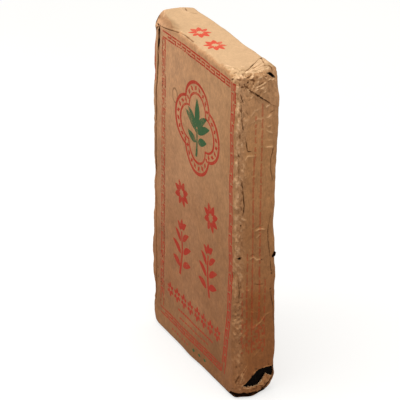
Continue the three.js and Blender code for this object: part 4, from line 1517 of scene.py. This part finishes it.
def add_camera():
    """The photograph's camera, set by its angles round the middle of the brick."""
    a, e, turn = (math.radians(v) for v in (AZIMUTH, ELEVATION, ROLL))
    back = Vector((math.sin(a) * math.cos(e), -math.cos(a) * math.cos(e), math.sin(e)))
    level = (-back).cross(Vector((0, 0, 1))).normalized()
    upright = level.cross(-back)
    right = level * math.cos(turn) + upright * math.sin(turn)
    up = upright * math.cos(turn) - level * math.sin(turn)
    at = Vector(UP) + back * DISTANCE + right * SHIFT_RIGHT + up * SHIFT_UP + Vector(TO_CENTRE)
    data = bpy.data.cameras.new("camera")
    data.lens, data.sensor_width, data.clip_end = LENS, SENSOR, 50.0
    camera = bpy.data.objects.new("camera", data)
    bpy.context.scene.collection.objects.link(camera)
    turned = Matrix((right, up, back)).transposed().to_4x4()
    camera.matrix_world = Matrix.Translation(at * MM) @ turned
    bpy.context.scene.camera = camera


def add_floor():
    """A stand-in for the photograph's white ground, which the paper doesn't mirror."""
    points = [(x * FLOOR_REACH, y * FLOOR_REACH, 0) for x, y in ((-1, -1), (1, -1), (1, 1), (-1, 1))]
    floor = bpy.data.objects.new("floor", mesh_of(points, [(0, 1, 2), (0, 2, 3)], "floor"))
    floor.data.materials.append(floor_material())
    bpy.context.scene.collection.objects.link(floor)
    floor.visible_diffuse = False


def add_light(name, place, target, size, power, colour):
    data = bpy.data.lights.new(name, "AREA")
    data.shape, data.size, data.energy, data.color = "DISK", size, power, colour
    light = bpy.data.objects.new(name, data)
    light.location = place
    light.rotation_mode = "QUATERNION"
    light.rotation_quaternion = (Vector(target) - Vector(place)).to_track_quat("-Z", "Y")
    bpy.context.scene.collection.objects.link(light)


def add_world():
    """Soft light from all round, bright above and dimmer and warmer from below."""
    world = bpy.data.worlds.new("studio")
    world.use_nodes = True
    nodes, links = world.node_tree.nodes, world.node_tree.links
    place = nodes.new("ShaderNodeTexCoord")
    axes = nodes.new("ShaderNodeSeparateXYZ")
    links.new(place.outputs["Generated"], axes.inputs[0])
    rise = nodes.new("ShaderNodeMapRange")
    rise.inputs["From Min"].default_value, rise.inputs["From Max"].default_value = -1.0, 1.0
    links.new(axes.outputs["Z"], rise.inputs["Value"])
    blend = nodes.new("ShaderNodeValToRGB")
    low, level, high = SKY
    stops = blend.color_ramp.elements
    for stop, (height, colour) in zip(stops, (low, high)):
        stop.position, stop.color = height, colour
    stops.new(level[0]).color = level[1]
    links.new(rise.outputs[0], blend.inputs[0])
    links.new(blend.outputs["Color"], nodes["Background"].inputs["Color"])
    bpy.context.scene.world = world
    bpy.context.scene.view_settings.view_transform = "Standard"


# ---- everything together ----

add_camera()
paper = add_piece("wrapper", make_paper(), kraft_material())
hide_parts("paper_wrapper")
tea = add_piece("tea", make_tea(), tea_material(), 35, paper=False)
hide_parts("tea_brick")
red = ink_material("red_print", RED, 0.93, worn_left=True)
add_piece("front_print", make_print("front", border() + medallion() + marks()), red)
green = ink_material("green_print", GREEN, 0.95)
add_piece("front_print_green", make_print("front", sprig() + green_dots()), green)
add_piece("top_print", make_print("top", top_marks()), ink_material("bright_red_print", RED_TOP, 0.9))
rubbed_red = ink_material("rubbed_red_print", RED, 0.4, scale=110)
add_piece("side_print", make_print("side", side_marks(), side_lift), rubbed_red)
faint_red = ink_material("left_red_print", RED, 0.7)
add_piece("left_print", make_print("front", left_marks(), strip_lift), faint_red)
add_floor()
add_world()
for lamp, settings in LAMPS.items():
    add_light(lamp, *settings)
